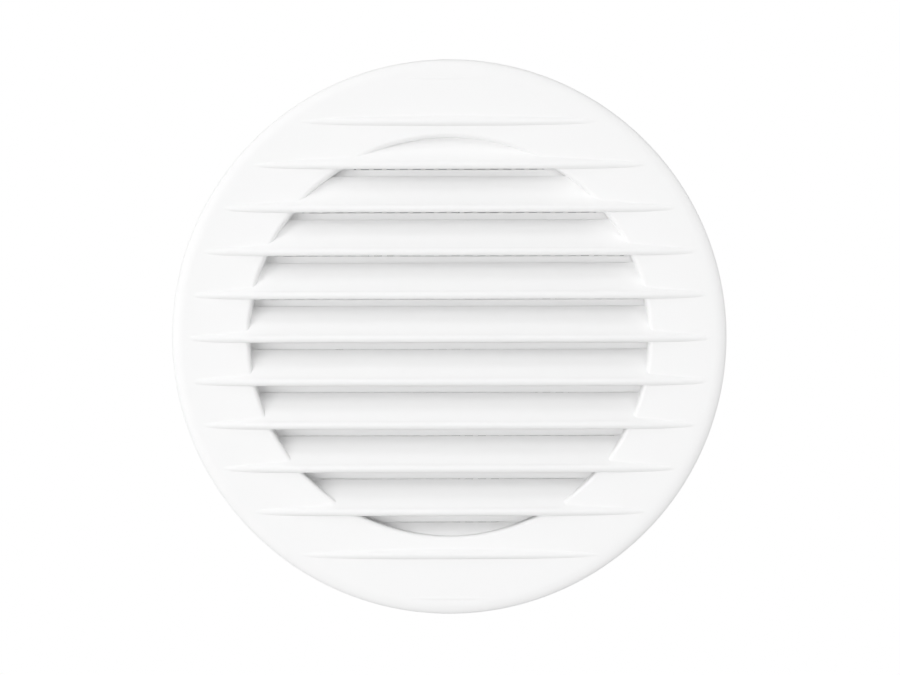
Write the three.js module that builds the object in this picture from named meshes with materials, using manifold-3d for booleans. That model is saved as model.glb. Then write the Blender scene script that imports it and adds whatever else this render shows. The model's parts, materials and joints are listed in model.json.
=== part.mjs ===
// Bathroom extractor fan for a 100 mm round duct, behind a round louvred grille.
//
// Millimetres, +Z up. The fan's axis is Y and the wall's face is the plane y = 0:
// the room is at negative y, the duct at positive y, and the origin is on the axis.
// Each function below makes one piece, in place, as a closed solid.

import * as THREE from 'three';
import { mergeVertices } from 'three/addons/utils/BufferGeometryUtils.js';
import Module from 'manifold-3d';

const wasm = await Module();
wasm.setup();

// Facets and gaps

const SIDES = 40; // facets round the large rings, all starting at +Z so that they nest
const HUB_SIDES = 24; // facets round the motor's and the impeller's middle parts
const PIN_SIDES = 16; // facets round shafts and bores
const SCREW_SIDES = 10;
const GAP = 0.3; // clearance between pieces that rest on each other

// Grille: one moulding of flange, domed louvres, opening lip and collar

const GRILLE_R = 64;
const FACE_Y = -4; // front of the flat flange
const RIM_WIDTH = 2.8; // the flange curves back over this much of its edge
const RIM_DEPTH = 1.2; // how far back the curve ends
const SKIN = 1.8; // wall of the flange
const DOME_R = 60.9; // the louvre noses reach the flange on this circle
const DOME_HEIGHT = 3; // how far the middle louvre stands in front of the flange
const OPENING_R = 47.2;
const THROAT_FRONT_R = 46.1; // inside of the opening, just behind its rounded lip
const THROAT_REAR_R = 45.8;
const SEAT_Y = 1.7; // step inside the collar that the guard screen is pushed against
const SEAT_R = 46.3;
const COLLAR_R = 47.1;
const COLLAR_END_Y = 9;
const LOUVRE_PITCH = 10;
const LOUVRE_REACH = 6; // louvres above and below the middle one
const LOUVRE_THICK = 1.5;
const LOUVRE_LEAN = THREE.MathUtils.degToRad(40); // of the louvre's face, from vertical
const LOUVRE_RISE = 7.15; // from a louvre's level up to its top edge
const LOUVRE_STEP = 10; // length of one facet along a louvre
const NOSE_R = 1; // round bead along a louvre's lower edge
const NOSE_DROP = 0.35; // the bead's centre hangs this far below the louvre's level
const NOSE_PROUD = 0.1; // and the bead stands this far out of the louvre's face

// Guard screen

const GUARD_R = SEAT_R - GAP;
const GUARD_FRONT_Y = SEAT_Y + GAP;
const GUARD_LAYER = 0.8; // thickness of the cross bars in front and of the ribs behind them
const GUARD_LAYER_GAP = 0.2;
const GUARD_THICK = 2 * GUARD_LAYER + GUARD_LAYER_GAP;
const GUARD_HOLES_R = 44.6;
const RIB_PITCH = 3;
const RIB_WIDTH = 1.1;
const RIB_REACH = 14; // ribs on each side of the middle one
const BAR_HEIGHT = 1.6;
const BAR_REACH = 4; // cross bars above and below the middle one
const BAR_DROP = 2.15; // a cross bar's middle lies this far under its louvre's level

// Housing tube

const TUBE_R = 49;
const TUBE_BORE_R = 47.4;
const TUBE_END_Y = 90;
const FLANGE_R = 60.5;
const FLANGE_THICK = 1.9;
const FLANGE_HOLE_R = 2.1;
const FLANGE_HOLE_CIRCLE_R = 54.7;
const LEDGE_Y = 39.2; // ledge that the motor cradle's ring is pushed against
const LEDGE_WIDTH = 1.5;
const LEDGE_R = 46.4;
const SEAL_GROOVE_Y = 80;
const SEAL_GROOVE_WIDTH = 4.4;
const SEAL_GROOVE_R = 48.4;
const SEAL_LIP_R = 50;
const INLET_Y = 69.5; // cable inlet through the bottom of the tube
const INLET_R = 5;

// Motor cradle and cap

const CRADLE_R = 47.1;
const CRADLE_RING_WALL = 1.6;
const CRADLE_START_Y = LEDGE_Y + LEDGE_WIDTH + GAP;
const CRADLE_END_Y = 62;
const CUP_R = 27.2;
const CUP_BORE_R = 25.4;
const CUP_FRONT_Y = 37;
const CUP_END_Y = 66;
const WALL = 2;
const STRUT_ANGLES = [30, 150, 270]; // degrees from +X towards +Z
const STRUT_THICK = 2.2;
const STRUT_START_Y = 44;
const STRUT_END_Y = 58;
const EAR_ANGLES = [90, 210, 330];
const EAR_CIRCLE_R = 29.6;
const EAR_R = 3.4;
const EAR_START_Y = 56;
const CAP_THICK = 2.2;
const BOSS_R = 7.2;
const BEARING_SEAT_R = 5.3;
const SHAFT_HOLE_R = 3.3;
const PILOT_R = 1.2; // holes that screws bite into
const LEAD_HOLE_R = 3.2; // lets the motor leads out through the cap
const LEAD_HOLE_Z = -19.6;

// Terminal compartment, at the bottom behind the cradle's ring

const BOX_HALF_X = 13;
const BOX_FRONT_Y = 62.6;
const BOX_REAR_Y = 76.6;
const BOX_FLOOR_Z = -45.2;
const BOX_TOP_Z = -29.5;
const BOX_WALL = 1.2;
const BOX_FOOT_HALF_X = 8; // foot that joins the compartment to the cradle's ring
const CABLE_HOLE_R = 4.4;
const LEAD_NOTCH_HALF_X = 4.5; // notch in the compartment's top for the motor leads
const LEAD_NOTCH_Y = 70;
const COVER_THICK = 1.4;
const COVER_POST_R = 2;
const COVER_POST_X = 10.3;
const COVER_POST_Z = -36.5;
const PILOT_END_Y = 66; // depth of the holes in the posts
const CLAMP_POST_R = 2.2;
const CLAMP_POST_END_Y = 72.4;
const CLAMP_X = 6.6; // screws of the cable clamp
const CLAMP_Z = -41;
const CLAMP_HALF_X = 9.4;
const CLAMP_HALF_Z = 1.7;
const CLAMP_THICK = 1.5;
const TERMINAL_HALF_X = 7.9;
const TERMINAL_FRONT_Y = 66;
const TERMINAL_REAR_Y = 73;
const TERMINAL_Z = [-37.4, -31.2];
const TERMINAL_GROOVE_Y = 69.5; // groove between the two poles of the block
const TERMINAL_SCREW_PLACES = [[-5.4, -35.6], [5.4, -35.6], [-5.4, -32.6], [5.4, -32.6]];

// Cable grommet, turned about a vertical axis

const GROMMET_BORE_R = 3.2;
const GROMMET_RIM_R = 6.2;
const GROMMET_LOW_Z = -49.9;
const GROMMET_HIGH_Z = -46;

// Motor

const STACK_START_Y = 47;
const STACK_END_Y = 59;
const STATOR_R = 25;
const YOKE_BORE_R = 21.3;
const SHOE_R = 14.8;
const STATOR_BORE_R = 12.2;
const SHOE_HALF_ANGLE = THREE.MathUtils.degToRad(36);
const STEM_WIDTH = 8;
const POLES = 4;
const COIL_INNER_R = 15.1;
const COIL_OUTER_R = 19.2;
const COIL_HALF_WIDTH = 8;
const COIL_OVERHANG = 3.8; // how far the winding stands out past each end of the stack
const SHADE_CENTRE_ANGLE = THREE.MathUtils.degToRad(29.85);
const SHADE_RADIAL = 12.9;
const SHADE_HALF_WIDTH = 2.24;
const SHADE_BAR = 1.1;
const ROTOR_R = 11.6;
const ROTOR_START_Y = 45.9;
const ROTOR_END_Y = 59.9;
const ROTOR_CHAMFER = 0.6;
const SHAFT_R = 2.5;
const SHAFT_START_Y = 9.5;
const SHAFT_END_Y = 66.8;
const LOOSE_BORE_R = 2.8;
const RUNNING_CLEARANCE = 0.05;
const BEARING_R = 5;
const FRONT_BEARING = [37.8, 44];
const REAR_BEARING = [61.6, 67.2];
const WASHER_THICK = 1;

// Impeller

const BLADES = 7;
const HUB_R = 23;
const HUB_START_Y = 13;
const HUB_END_Y = 34;
const HUB_WALL = 1.7;
const HUB_BOSS_R = 6.8;
const HUB_BOSS_END_Y = 29.4;
const BLADE_TIP_R = 45.6;
const BLADE_ROOT_R = 22.2; // inside the hub's wall
const BLADE_MID_Y = 24.6;
const BLADE_CHORD = 22;
const BLADE_CAMBER = 1.8;
const BLADE_THICK = 1.5;
const ROOT_PITCH = THREE.MathUtils.degToRad(48);
const TIP_PITCH = THREE.MathUtils.degToRad(30);
const DRIVE_PIN_Y = 27.6;
const DRIVE_PIN_R = 0.8;
const DRIVE_PIN_HALF = 6.2;

// Backdraught shutter

const SHUTTER_START_Y = 79;
const SHUTTER_FLOOR = 1.4;
const SHUTTER_OPENING_R = 43.5;
const SHUTTER_BORE_R = 45.6;
const SHUTTER_END_Y = 91.8;
const CROSS_BAR_HALF_X = 2.5; // the bar that the flaps' straight edges close against
const SPINDLE_BOSS_HALF_X = 3.6;
const SPINDLE_BOSS_END_Y = 86.8;
const SPINDLE_BOSS_Z = [42.6, 46.2];
const SPINDLE_Y = 83.2;
const SPINDLE_R = 1.5;
const SPINDLE_HALF = 45.6;
const FLAP_R = 45.2;
const FLAP_FRONT_Y = SHUTTER_START_Y + SHUTTER_FLOOR + GAP;
const FLAP_THICK = 1.2;
const FLAP_EDGE_X = 3.1; // the flap's straight edge stays this far from the spindle
const FLAP_TRIM = [8, 42.2]; // its corners are cut off inside this x, beyond this z
const KNUCKLE_R = 2.5;
const KNUCKLE_LENGTH = 10;
const HINGE_BORE_R = 1.75;
const RIB_THICK = 1.4; // stiffening ribs on the backs of the flaps
const SPRING_COIL_R = 2.1;
const SPRING_WIRE_R = 0.28;
const SPRING_TURNS = 3;
const SPRING_PITCH = 1.1;

// Tools that make and join closed solids

// A closed geometry as a solid, with merged corners and its faces pointing out.
function solid(geometry) {
  const bare = new THREE.BufferGeometry();
  bare.setAttribute('position', geometry.getAttribute('position'));
  bare.setIndex(geometry.getIndex());
  const merged = mergeVertices(bare, 1e-4);
  const points = merged.getAttribute('position').array;
  const corners = merged.getIndex().array;
  const a = new THREE.Vector3();
  const b = new THREE.Vector3();
  const c = new THREE.Vector3();
  const kept = [];
  let volume = 0;
  for (let i = 0; i < corners.length; i += 3) {
    const [p, q, r] = corners.slice(i, i + 3);
    if (p === q || q === r || r === p) {
      continue;
    }
    kept.push(p, q, r);
    volume += a.fromArray(points, 3 * p).dot(b.fromArray(points, 3 * q).cross(c.fromArray(points, 3 * r)));
  }
  if (volume < 0) {
    kept.reverse();
  }
  const mesh = new wasm.Mesh({
    numProp: 3,
    vertProperties: Float32Array.from(points),
    triVerts: Uint32Array.from(kept),
  });
  return new wasm.Manifold(mesh);
}

function join(pieces) {
  return pieces.reduce((whole, piece) => whole.add(piece));
}

function cut(piece, tools) {
  return tools.reduce((rest, tool) => rest.subtract(tool), piece);
}

// A ring turned about the Y axis. The corners are [radius, y] and close on themselves.
function turned(corners, sides = SIDES) {
  const profile = [...corners, corners[0]].map(([radius, y]) => new THREE.Vector2(radius, y));
  return solid(new THREE.LatheGeometry(profile, sides));
}

// A tube about the Y axis.
function tube(outerR, innerR, startY, endY, sides = SIDES) {
  return turned([[innerR, startY], [outerR, startY], [outerR, endY], [innerR, endY]], sides);
}

// A round bar along Y, X or Z, between two positions along its own direction.
function bar(direction, radius, from, to, centre, sides = PIN_SIDES) {
  const geometry = new THREE.CylinderGeometry(radius, radius, to - from, sides);
  geometry.translate(0, (from + to) / 2, 0);
  if (direction === 'x') {
    geometry.rotateZ(-Math.PI / 2);
  }
  if (direction === 'z') {
    geometry.rotateX(Math.PI / 2);
  }
  geometry.translate(...centre);
  return solid(geometry);
}

function block([x0, x1], [y0, y1], [z0, z1]) {
  const geometry = new THREE.BoxGeometry(x1 - x0, y1 - y0, z1 - z0);
  geometry.translate((x0 + x1) / 2, (y0 + y1) / 2, (z0 + z1) / 2);
  return solid(geometry);
}

// A piece turned about the fan's axis, by an angle from +X towards +Z.
function aboutAxis(piece, angle) {
  return piece.rotate([0, -THREE.MathUtils.radToDeg(angle), 0]);
}

// A shape drawn in X and Z, pushed from one y to another.
function pushed(shape, [startY, endY], curveSegments = 6) {
  const geometry = new THREE.ExtrudeGeometry(shape, {
    depth: endY - startY,
    bevelEnabled: false,
    curveSegments,
  });
  geometry.rotateX(Math.PI / 2);
  geometry.translate(0, endY, 0);
  return solid(geometry);
}

// A round wire along a path.
function wire(path, radius, steps, sides) {
  const outline = new THREE.Shape();
  for (let i = 0; i < sides; i += 1) {
    const angle = (2 * Math.PI * i) / sides;
    const corner = [radius * Math.cos(angle), radius * Math.sin(angle)];
    if (i === 0) {
      outline.moveTo(...corner);
    } else {
      outline.lineTo(...corner);
    }
  }
  outline.closePath();
  return solid(new THREE.ExtrudeGeometry(outline, { steps, extrudePath: path }));
}

// A slotted pan-head screw whose shank points along +Y or, turned round, along -Y.
// The head rests at headY and the screw is centred on x and z.
function screw({ x, z, headY, way, headR, headHeight, shankR, length }) {
  const profile = [
    [0, -headHeight],
    [headR * 0.7, -headHeight],
    [headR, -headHeight * 0.45],
    [headR, 0],
    [shankR, 0],
    [shankR, length - shankR],
    [0, length],
  ];
  const body = turned(profile, SCREW_SIDES);
  const slot = block([-headR * 2, headR * 2], [-headHeight * 2, -headHeight * 0.6], [-0.3, 0.3]);
  const finished = body.subtract(slot);
  const facing = way > 0 ? finished : finished.rotate([180, 0, 0]);
  return facing.translate([x, headY, z]);
}

// Grille

// How far a louvre's nose stands in front of the flange at a point of the face.
function domeHeight(x, z) {
  return DOME_HEIGHT * (1 - (x * x + z * z) / (DOME_R * DOME_R));
}

// A louvre is a leaning slab with a bead along its nose, bowed forward to follow the dome.
// Its section is drawn from the bead's centre, with X pointing back and Y up.
function louvre(level) {
  const back = Math.sin(LOUVRE_LEAN);
  const up = Math.cos(LOUVRE_LEAN);
  const frontFace = NOSE_R - NOSE_PROUD;
  const rearFace = frontFace - LOUVRE_THICK;
  const length = (LOUVRE_RISE + NOSE_DROP - frontFace * back) / up;
  const corners = [rearFace, frontFace].map((depth) => (
    [length * back - depth * up, length * up + depth * back]
  ));
  const crease = LOUVRE_LEAN + Math.acos(frontFace / NOSE_R);
  const underside = LOUVRE_LEAN - Math.acos(rearFace / NOSE_R);
  for (const angle of [crease, crease / 2, 0, underside / 2, underside]) {
    corners.push([-NOSE_R * Math.cos(angle), NOSE_R * Math.sin(angle)]);
  }
  const section = new THREE.Shape(corners.map((corner) => new THREE.Vector2(...corner)));
  const halfWidth = Math.sqrt(DOME_R * DOME_R - level * level);
  const geometry = new THREE.ExtrudeGeometry(section, {
    depth: 2 * halfWidth,
    steps: 2 * Math.ceil(halfWidth / LOUVRE_STEP),
    bevelEnabled: false,
  });
  const points = geometry.getAttribute('position');
  for (let i = 0; i < points.count; i += 1) {
    const x = points.getZ(i) - halfWidth;
    const noseY = FACE_Y + NOSE_R - domeHeight(x, level);
    points.setXYZ(i, x, noseY + points.getX(i), level - NOSE_DROP + points.getY(i));
  }
  return solid(geometry);
}

function frontGrille() {
  const rimFrontR = GRILLE_R - RIM_WIDTH;
  const rim = [];
  for (const angle of [0, 1 / 4, 1 / 2, 3 / 4, 1].map((part) => part * Math.PI / 2)) {
    rim.push([rimFrontR + RIM_WIDTH * Math.cos(angle), FACE_Y + RIM_DEPTH * (1 - Math.sin(angle))]);
  }
  const body = turned([
    [rimFrontR, 0],
    [GRILLE_R, 0],
    ...rim,
    [OPENING_R, FACE_Y],
    [OPENING_R - 0.75, FACE_Y + 0.45],
    [THROAT_FRONT_R, FACE_Y + 1.6],
    [THROAT_REAR_R, SEAT_Y],
    [SEAT_R, SEAT_Y],
    [SEAT_R, COLLAR_END_Y],
    [COLLAR_R, COLLAR_END_Y],
    [COLLAR_R, FACE_Y + SKIN],
    [rimFrontR, FACE_Y + SKIN],
  ]);
  // The louvres end inside the throat's wall, and inside the skin where they run over the flange.
  const wallR = (SEAT_R + COLLAR_R) / 2;
  const reach = turned([
    [0, -2 * GRILLE_R],
    [rimFrontR, -2 * GRILLE_R],
    [rimFrontR, FACE_Y + SKIN / 2],
    [wallR, FACE_Y + SKIN / 2],
    [wallR, SEAT_Y],
    [0, SEAT_Y],
  ]);
  let grille = body;
  for (let k = -LOUVRE_REACH; k <= LOUVRE_REACH; k += 1) {
    grille = grille.add(louvre(k * LOUVRE_PITCH).intersect(reach));
  }
  return grille;
}

// A ring with upright ribs across its rear half and a cross bar under every louvre in front.
function guardScreen() {
  const end = GUARD_FRONT_Y + GUARD_THICK;
  const chordR = (GUARD_R + GUARD_HOLES_R) / 2;
  const pieces = [tube(GUARD_R, GUARD_HOLES_R, GUARD_FRONT_Y, end)];
  for (let i = -RIB_REACH; i <= RIB_REACH; i += 1) {
    const x = i * RIB_PITCH;
    const half = Math.sqrt(chordR ** 2 - x ** 2);
    pieces.push(block([x - RIB_WIDTH / 2, x + RIB_WIDTH / 2], [end - GUARD_LAYER, end], [-half, half]));
  }
  for (let k = -BAR_REACH; k <= BAR_REACH; k += 1) {
    const z = k * LOUVRE_PITCH - BAR_DROP;
    const half = Math.sqrt(chordR ** 2 - z ** 2);
    const depth = [GUARD_FRONT_Y, GUARD_FRONT_Y + GUARD_LAYER];
    pieces.push(block([-half, half], depth, [z - BAR_HEIGHT / 2, z + BAR_HEIGHT / 2]));
  }
  return join(pieces);
}

// Housing

function housingTube() {
  const body = turned([
    [TUBE_BORE_R, -FLANGE_THICK],
    [FLANGE_R, -FLANGE_THICK],
    [FLANGE_R, 0],
    [TUBE_R, 0],
    [TUBE_R, SEAL_GROOVE_Y],
    [SEAL_GROOVE_R, SEAL_GROOVE_Y],
    [SEAL_GROOVE_R, SEAL_GROOVE_Y + SEAL_GROOVE_WIDTH],
    [TUBE_R, SEAL_GROOVE_Y + SEAL_GROOVE_WIDTH],
    [TUBE_R, TUBE_END_Y],
    [TUBE_BORE_R, TUBE_END_Y],
    [TUBE_BORE_R, LEDGE_Y + LEDGE_WIDTH],
    [LEDGE_R, LEDGE_Y + LEDGE_WIDTH],
    [LEDGE_R, LEDGE_Y],
    [TUBE_BORE_R, LEDGE_Y],
  ]);
  const tools = [bar('z', INLET_R, -TUBE_R - 2, -TUBE_BORE_R + 3, [0, INLET_Y, 0])];
  for (const degrees of [45, 135, 225, 315]) {
    const angle = THREE.MathUtils.degToRad(degrees);
    const centre = [FLANGE_HOLE_CIRCLE_R * Math.cos(angle), 0, FLANGE_HOLE_CIRCLE_R * Math.sin(angle)];
    tools.push(bar('y', FLANGE_HOLE_R, -FLANGE_THICK - 1, 1, centre, 12));
  }
  return cut(body, tools);
}

function ductSealRing() {
  const start = SEAL_GROOVE_Y + GAP;
  const end = SEAL_GROOVE_Y + SEAL_GROOVE_WIDTH - GAP;
  const base = SEAL_GROOVE_R + GAP;
  const shoulder = TUBE_R + 0.3;
  return turned([
    [base, start],
    [shoulder, start],
    [SEAL_LIP_R, start + 1.5],
    [shoulder, start + 2.4],
    [shoulder, end],
    [base, end],
  ]);
}

// Motor cradle: cup, struts, seating ring and terminal compartment

function earAt(degrees, [startY, endY]) {
  const angle = THREE.MathUtils.degToRad(degrees);
  const lug = bar('y', EAR_R, startY, endY, [EAR_CIRCLE_R, 0, 0]);
  const web = block([CUP_R - 1, EAR_CIRCLE_R], [startY, endY], [-EAR_R, EAR_R]);
  return aboutAxis(lug.add(web), angle);
}

function earHole(degrees, radius) {
  const hole = bar('y', radius, EAR_START_Y - 1, CUP_END_Y + 5, [EAR_CIRCLE_R, 0, 0], SCREW_SIDES);
  return aboutAxis(hole, THREE.MathUtils.degToRad(degrees));
}

function motorCup() {
  return turned([
    [SHAFT_HOLE_R, CUP_FRONT_Y],
    [CUP_R - 1.5, CUP_FRONT_Y],
    [CUP_R, CUP_FRONT_Y + 1.5],
    [CUP_R, CUP_END_Y],
    [CUP_BORE_R, CUP_END_Y],
    [CUP_BORE_R, CUP_FRONT_Y + WALL],
    [BOSS_R, CUP_FRONT_Y + WALL],
    [BOSS_R, FRONT_BEARING[1]],
    [BEARING_SEAT_R, FRONT_BEARING[1]],
    [BEARING_SEAT_R, FRONT_BEARING[0] - GAP],
    [SHAFT_HOLE_R, FRONT_BEARING[0] - GAP],
  ], HUB_SIDES);
}

function terminalCompartment() {
  const shell = block([-BOX_HALF_X, BOX_HALF_X], [BOX_FRONT_Y, BOX_REAR_Y], [BOX_FLOOR_Z, BOX_TOP_Z]);
  const inside = block(
    [-BOX_HALF_X + BOX_WALL, BOX_HALF_X - BOX_WALL],
    [BOX_FRONT_Y + BOX_WALL, BOX_REAR_Y + 1],
    [BOX_FLOOR_Z + BOX_WALL, BOX_TOP_Z - BOX_WALL],
  );
  const foot = block(
    [-BOX_FOOT_HALF_X, BOX_FOOT_HALF_X],
    [CRADLE_END_Y - 2.5, BOX_FRONT_Y + 1],
    [BOX_FLOOR_Z - 1.2, BOX_FLOOR_Z + 3],
  );
  const postStart = BOX_FRONT_Y + 0.5;
  const coverPlace = [COVER_POST_X, 0, COVER_POST_Z];
  const clampPlaces = [[-CLAMP_X, 0, CLAMP_Z], [CLAMP_X, 0, CLAMP_Z]];
  const posts = [
    bar('y', COVER_POST_R, postStart, BOX_REAR_Y, coverPlace, SCREW_SIDES),
    ...clampPlaces.map((centre) => bar('y', CLAMP_POST_R, postStart, CLAMP_POST_END_Y, centre, SCREW_SIDES)),
  ];
  const tools = [
    bar('z', CABLE_HOLE_R, BOX_FLOOR_Z - 2, BOX_FLOOR_Z + 2, [0, INLET_Y, 0]),
    block(
      [-LEAD_NOTCH_HALF_X, LEAD_NOTCH_HALF_X],
      [LEAD_NOTCH_Y, BOX_REAR_Y + 1],
      [BOX_TOP_Z - 2, BOX_TOP_Z + 1],
    ),
    ...[coverPlace, ...clampPlaces].map((centre) => (
      bar('y', PILOT_R, PILOT_END_Y, BOX_REAR_Y + 1, centre, SCREW_SIDES)
    )),
  ];
  return cut(join([shell.subtract(inside), foot, ...posts]), tools);
}

function motorCradle() {
  const struts = STRUT_ANGLES.map((degrees) => {
    const plate = block(
      [CUP_BORE_R + 0.5, CRADLE_R - 0.6],
      [STRUT_START_Y, STRUT_END_Y],
      [-STRUT_THICK / 2, STRUT_THICK / 2],
    );
    return aboutAxis(plate, THREE.MathUtils.degToRad(degrees));
  });
  const ring = tube(CRADLE_R, CRADLE_R - CRADLE_RING_WALL, CRADLE_START_Y, CRADLE_END_Y);
  const ears = EAR_ANGLES.map((degrees) => earAt(degrees, [EAR_START_Y, CUP_END_Y]));
  const cradle = join([motorCup(), ring, ...struts, ...ears, terminalCompartment()]);
  return cut(cradle, EAR_ANGLES.map((degrees) => earHole(degrees, PILOT_R)));
}

function motorCap() {
  const start = CUP_END_Y + GAP;
  const end = start + CAP_THICK;
  const disc = turned([
    [0, REAR_BEARING[1] + GAP],
    [BEARING_SEAT_R, REAR_BEARING[1] + GAP],
    [BEARING_SEAT_R, REAR_BEARING[0] - 0.2],
    [BOSS_R, REAR_BEARING[0] - 0.2],
    [BOSS_R, start],
    [CUP_R, start],
    [CUP_R, end - 0.8],
    [CUP_R - 0.8, end],
    [0, end],
  ], HUB_SIDES);
  const ears = EAR_ANGLES.map((degrees) => earAt(degrees, [start, end]));
  const leadHole = bar('y', LEAD_HOLE_R, start - 1, end + 1, [0, 0, LEAD_HOLE_Z]);
  return cut(join([disc, ...ears]), [leadHole, ...EAR_ANGLES.map((degrees) => earHole(degrees, 1.75))]);
}

function motorCapScrew(degrees) {
  const angle = THREE.MathUtils.degToRad(degrees);
  return screw({
    x: EAR_CIRCLE_R * Math.cos(angle),
    z: EAR_CIRCLE_R * Math.sin(angle),
    headY: CUP_END_Y + GAP + CAP_THICK + 0.1,
    way: -1,
    headR: 2.7,
    headHeight: 1.8,
    shankR: 1.1,
    length: 10,
  });
}

// Motor

// A pole's local frame has its radius along X and its width along Z.
function poleAngle(index) {
  return (2 * Math.PI * index) / POLES;
}

function poleShoe() {
  const outline = new THREE.Shape();
  outline.absarc(0, 0, SHOE_R, -SHOE_HALF_ANGLE, SHOE_HALF_ANGLE, false);
  outline.absarc(0, 0, STATOR_BORE_R, SHOE_HALF_ANGLE, -SHOE_HALF_ANGLE, true);
  outline.closePath();
  return pushed(outline, [STACK_START_Y, STACK_END_Y], 4);
}

function statorCore() {
  const stack = [STACK_START_Y, STACK_END_Y];
  const stem = block([STATOR_BORE_R + 1, STATOR_R - 1.5], stack, [-STEM_WIDTH / 2, STEM_WIDTH / 2]);
  const slotEdge = -SHADE_HALF_WIDTH + SHADE_BAR / 2 + GAP;
  const slot = aboutAxis(
    block(
      [STATOR_BORE_R - 2, SHADE_RADIAL + SHADE_BAR / 2 + GAP],
      [STACK_START_Y - 1, STACK_END_Y + 1],
      [slotEdge - SHADE_BAR - 2 * GAP, slotEdge],
    ),
    SHADE_CENTRE_ANGLE,
  );
  const pole = join([poleShoe(), stem]).subtract(slot);
  const poles = [];
  for (let index = 0; index < POLES; index += 1) {
    poles.push(aboutAxis(pole, poleAngle(index)));
  }
  return join([tube(STATOR_R, YOKE_BORE_R, ...stack, HUB_SIDES), ...poles]);
}

// A winding wrapped round a pole's stem.
function poleCoil(index) {
  const middle = (STACK_START_Y + STACK_END_Y) / 2;
  const halfStack = (STACK_END_Y - STACK_START_Y) / 2;
  const outer = roundedRectangle(COIL_HALF_WIDTH, halfStack + COIL_OVERHANG, 2.4);
  outer.holes.push(roundedRectangle(STEM_WIDTH / 2 + GAP, halfStack + GAP, 0.5));
  const geometry = new THREE.ExtrudeGeometry(outer, {
    depth: COIL_OUTER_R - COIL_INNER_R,
    bevelEnabled: false,
    curveSegments: 2,
  });
  geometry.rotateY(Math.PI / 2);
  geometry.translate(COIL_INNER_R, middle, 0);
  return aboutAxis(solid(geometry), poleAngle(index));
}

function roundedRectangle(halfX, halfY, radius) {
  const outline = new THREE.Shape();
  outline.absarc(halfX - radius, halfY - radius, radius, 0, Math.PI / 2, false);
  outline.absarc(-halfX + radius, halfY - radius, radius, Math.PI / 2, Math.PI, false);
  outline.absarc(-halfX + radius, -halfY + radius, radius, Math.PI, 1.5 * Math.PI, false);
  outline.absarc(halfX - radius, -halfY + radius, radius, 1.5 * Math.PI, 2 * Math.PI, false);
  outline.closePath();
  return outline;
}

// A closed copper loop through the pole shoe's slot and round the shoe's tip.
function shadingRing(index) {
  const outerHalf = SHADE_HALF_WIDTH + SHADE_BAR / 2;
  const innerHalf = SHADE_HALF_WIDTH - SHADE_BAR / 2;
  const innerSpan = [STACK_START_Y - 0.6, STACK_END_Y + 0.6];
  const outerSpan = [innerSpan[0] - SHADE_BAR, innerSpan[1] + SHADE_BAR];
  const radial = [SHADE_RADIAL - SHADE_BAR / 2, SHADE_RADIAL + SHADE_BAR / 2];
  const loop = block(radial, outerSpan, [-outerHalf, outerHalf])
    .subtract(block([radial[0] - 1, radial[1] + 1], innerSpan, [-innerHalf, innerHalf]));
  return aboutAxis(loop, poleAngle(index) + SHADE_CENTRE_ANGLE);
}

// Strapped to the rear end of the first winding.
function thermalCutout() {
  const outline = roundedRectangle(1.9, 4, 1);
  const start = STACK_END_Y + COIL_OVERHANG + GAP;
  return pushed(outline, [start, start + 2.6], 2).translate([17.2, 0, 0]);
}

function rotorCore() {
  return turned([
    [LOOSE_BORE_R, ROTOR_START_Y],
    [ROTOR_R - ROTOR_CHAMFER, ROTOR_START_Y],
    [ROTOR_R, ROTOR_START_Y + ROTOR_CHAMFER],
    [ROTOR_R, ROTOR_END_Y - ROTOR_CHAMFER],
    [ROTOR_R - ROTOR_CHAMFER, ROTOR_END_Y],
    [LOOSE_BORE_R, ROTOR_END_Y],
  ], HUB_SIDES);
}

function rotorShaft() {
  const body = turned([
    [0, SHAFT_START_Y],
    [SHAFT_R - 0.4, SHAFT_START_Y],
    [SHAFT_R, SHAFT_START_Y + 0.4],
    [SHAFT_R, SHAFT_END_Y - 0.4],
    [SHAFT_R - 0.4, SHAFT_END_Y],
    [0, SHAFT_END_Y],
  ], PIN_SIDES);
  return body.subtract(bar('x', DRIVE_PIN_R + GAP, -5, 5, [0, DRIVE_PIN_Y, 0], 8));
}

function bearing([startY, endY]) {
  const boreR = (SHAFT_R + RUNNING_CLEARANCE) / Math.cos(Math.PI / PIN_SIDES);
  return turned([
    [boreR, startY],
    [BEARING_R - 0.4, startY],
    [BEARING_R, startY + 0.4],
    [BEARING_R, endY],
    [boreR, endY],
  ], PIN_SIDES);
}

function thrustWasher(startY) {
  return tube(BEARING_R, LOOSE_BORE_R, startY, startY + WASHER_THICK, PIN_SIDES);
}

// Impeller

function impellerBlade(angle) {
  const section = new THREE.Shape();
  const half = BLADE_CHORD / 2;
  section.moveTo(-half, 0);
  section.quadraticCurveTo(0, 2 * BLADE_CAMBER - BLADE_THICK, half, 0);
  section.quadraticCurveTo(0, 2 * BLADE_CAMBER + BLADE_THICK, -half, 0);
  const span = BLADE_TIP_R - BLADE_ROOT_R;
  const geometry = new THREE.ExtrudeGeometry(section, {
    depth: span,
    steps: 3,
    bevelEnabled: false,
    curveSegments: 3,
  });
  const points = geometry.getAttribute('position');
  for (let i = 0; i < points.count; i += 1) {
    const part = points.getZ(i) / span;
    const radius = BLADE_ROOT_R + points.getZ(i);
    const pitch = THREE.MathUtils.lerp(ROOT_PITCH, TIP_PITCH, part);
    const chord = points.getX(i) * (1 + 0.25 * part);
    const camber = points.getY(i);
    const across = chord * Math.cos(pitch) - camber * Math.sin(pitch);
    const along = chord * Math.sin(pitch) + camber * Math.cos(pitch);
    const turn = angle + across / radius;
    points.setXYZ(i, radius * Math.cos(turn), BLADE_MID_Y + along, radius * Math.sin(turn));
  }
  return solid(geometry);
}

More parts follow.
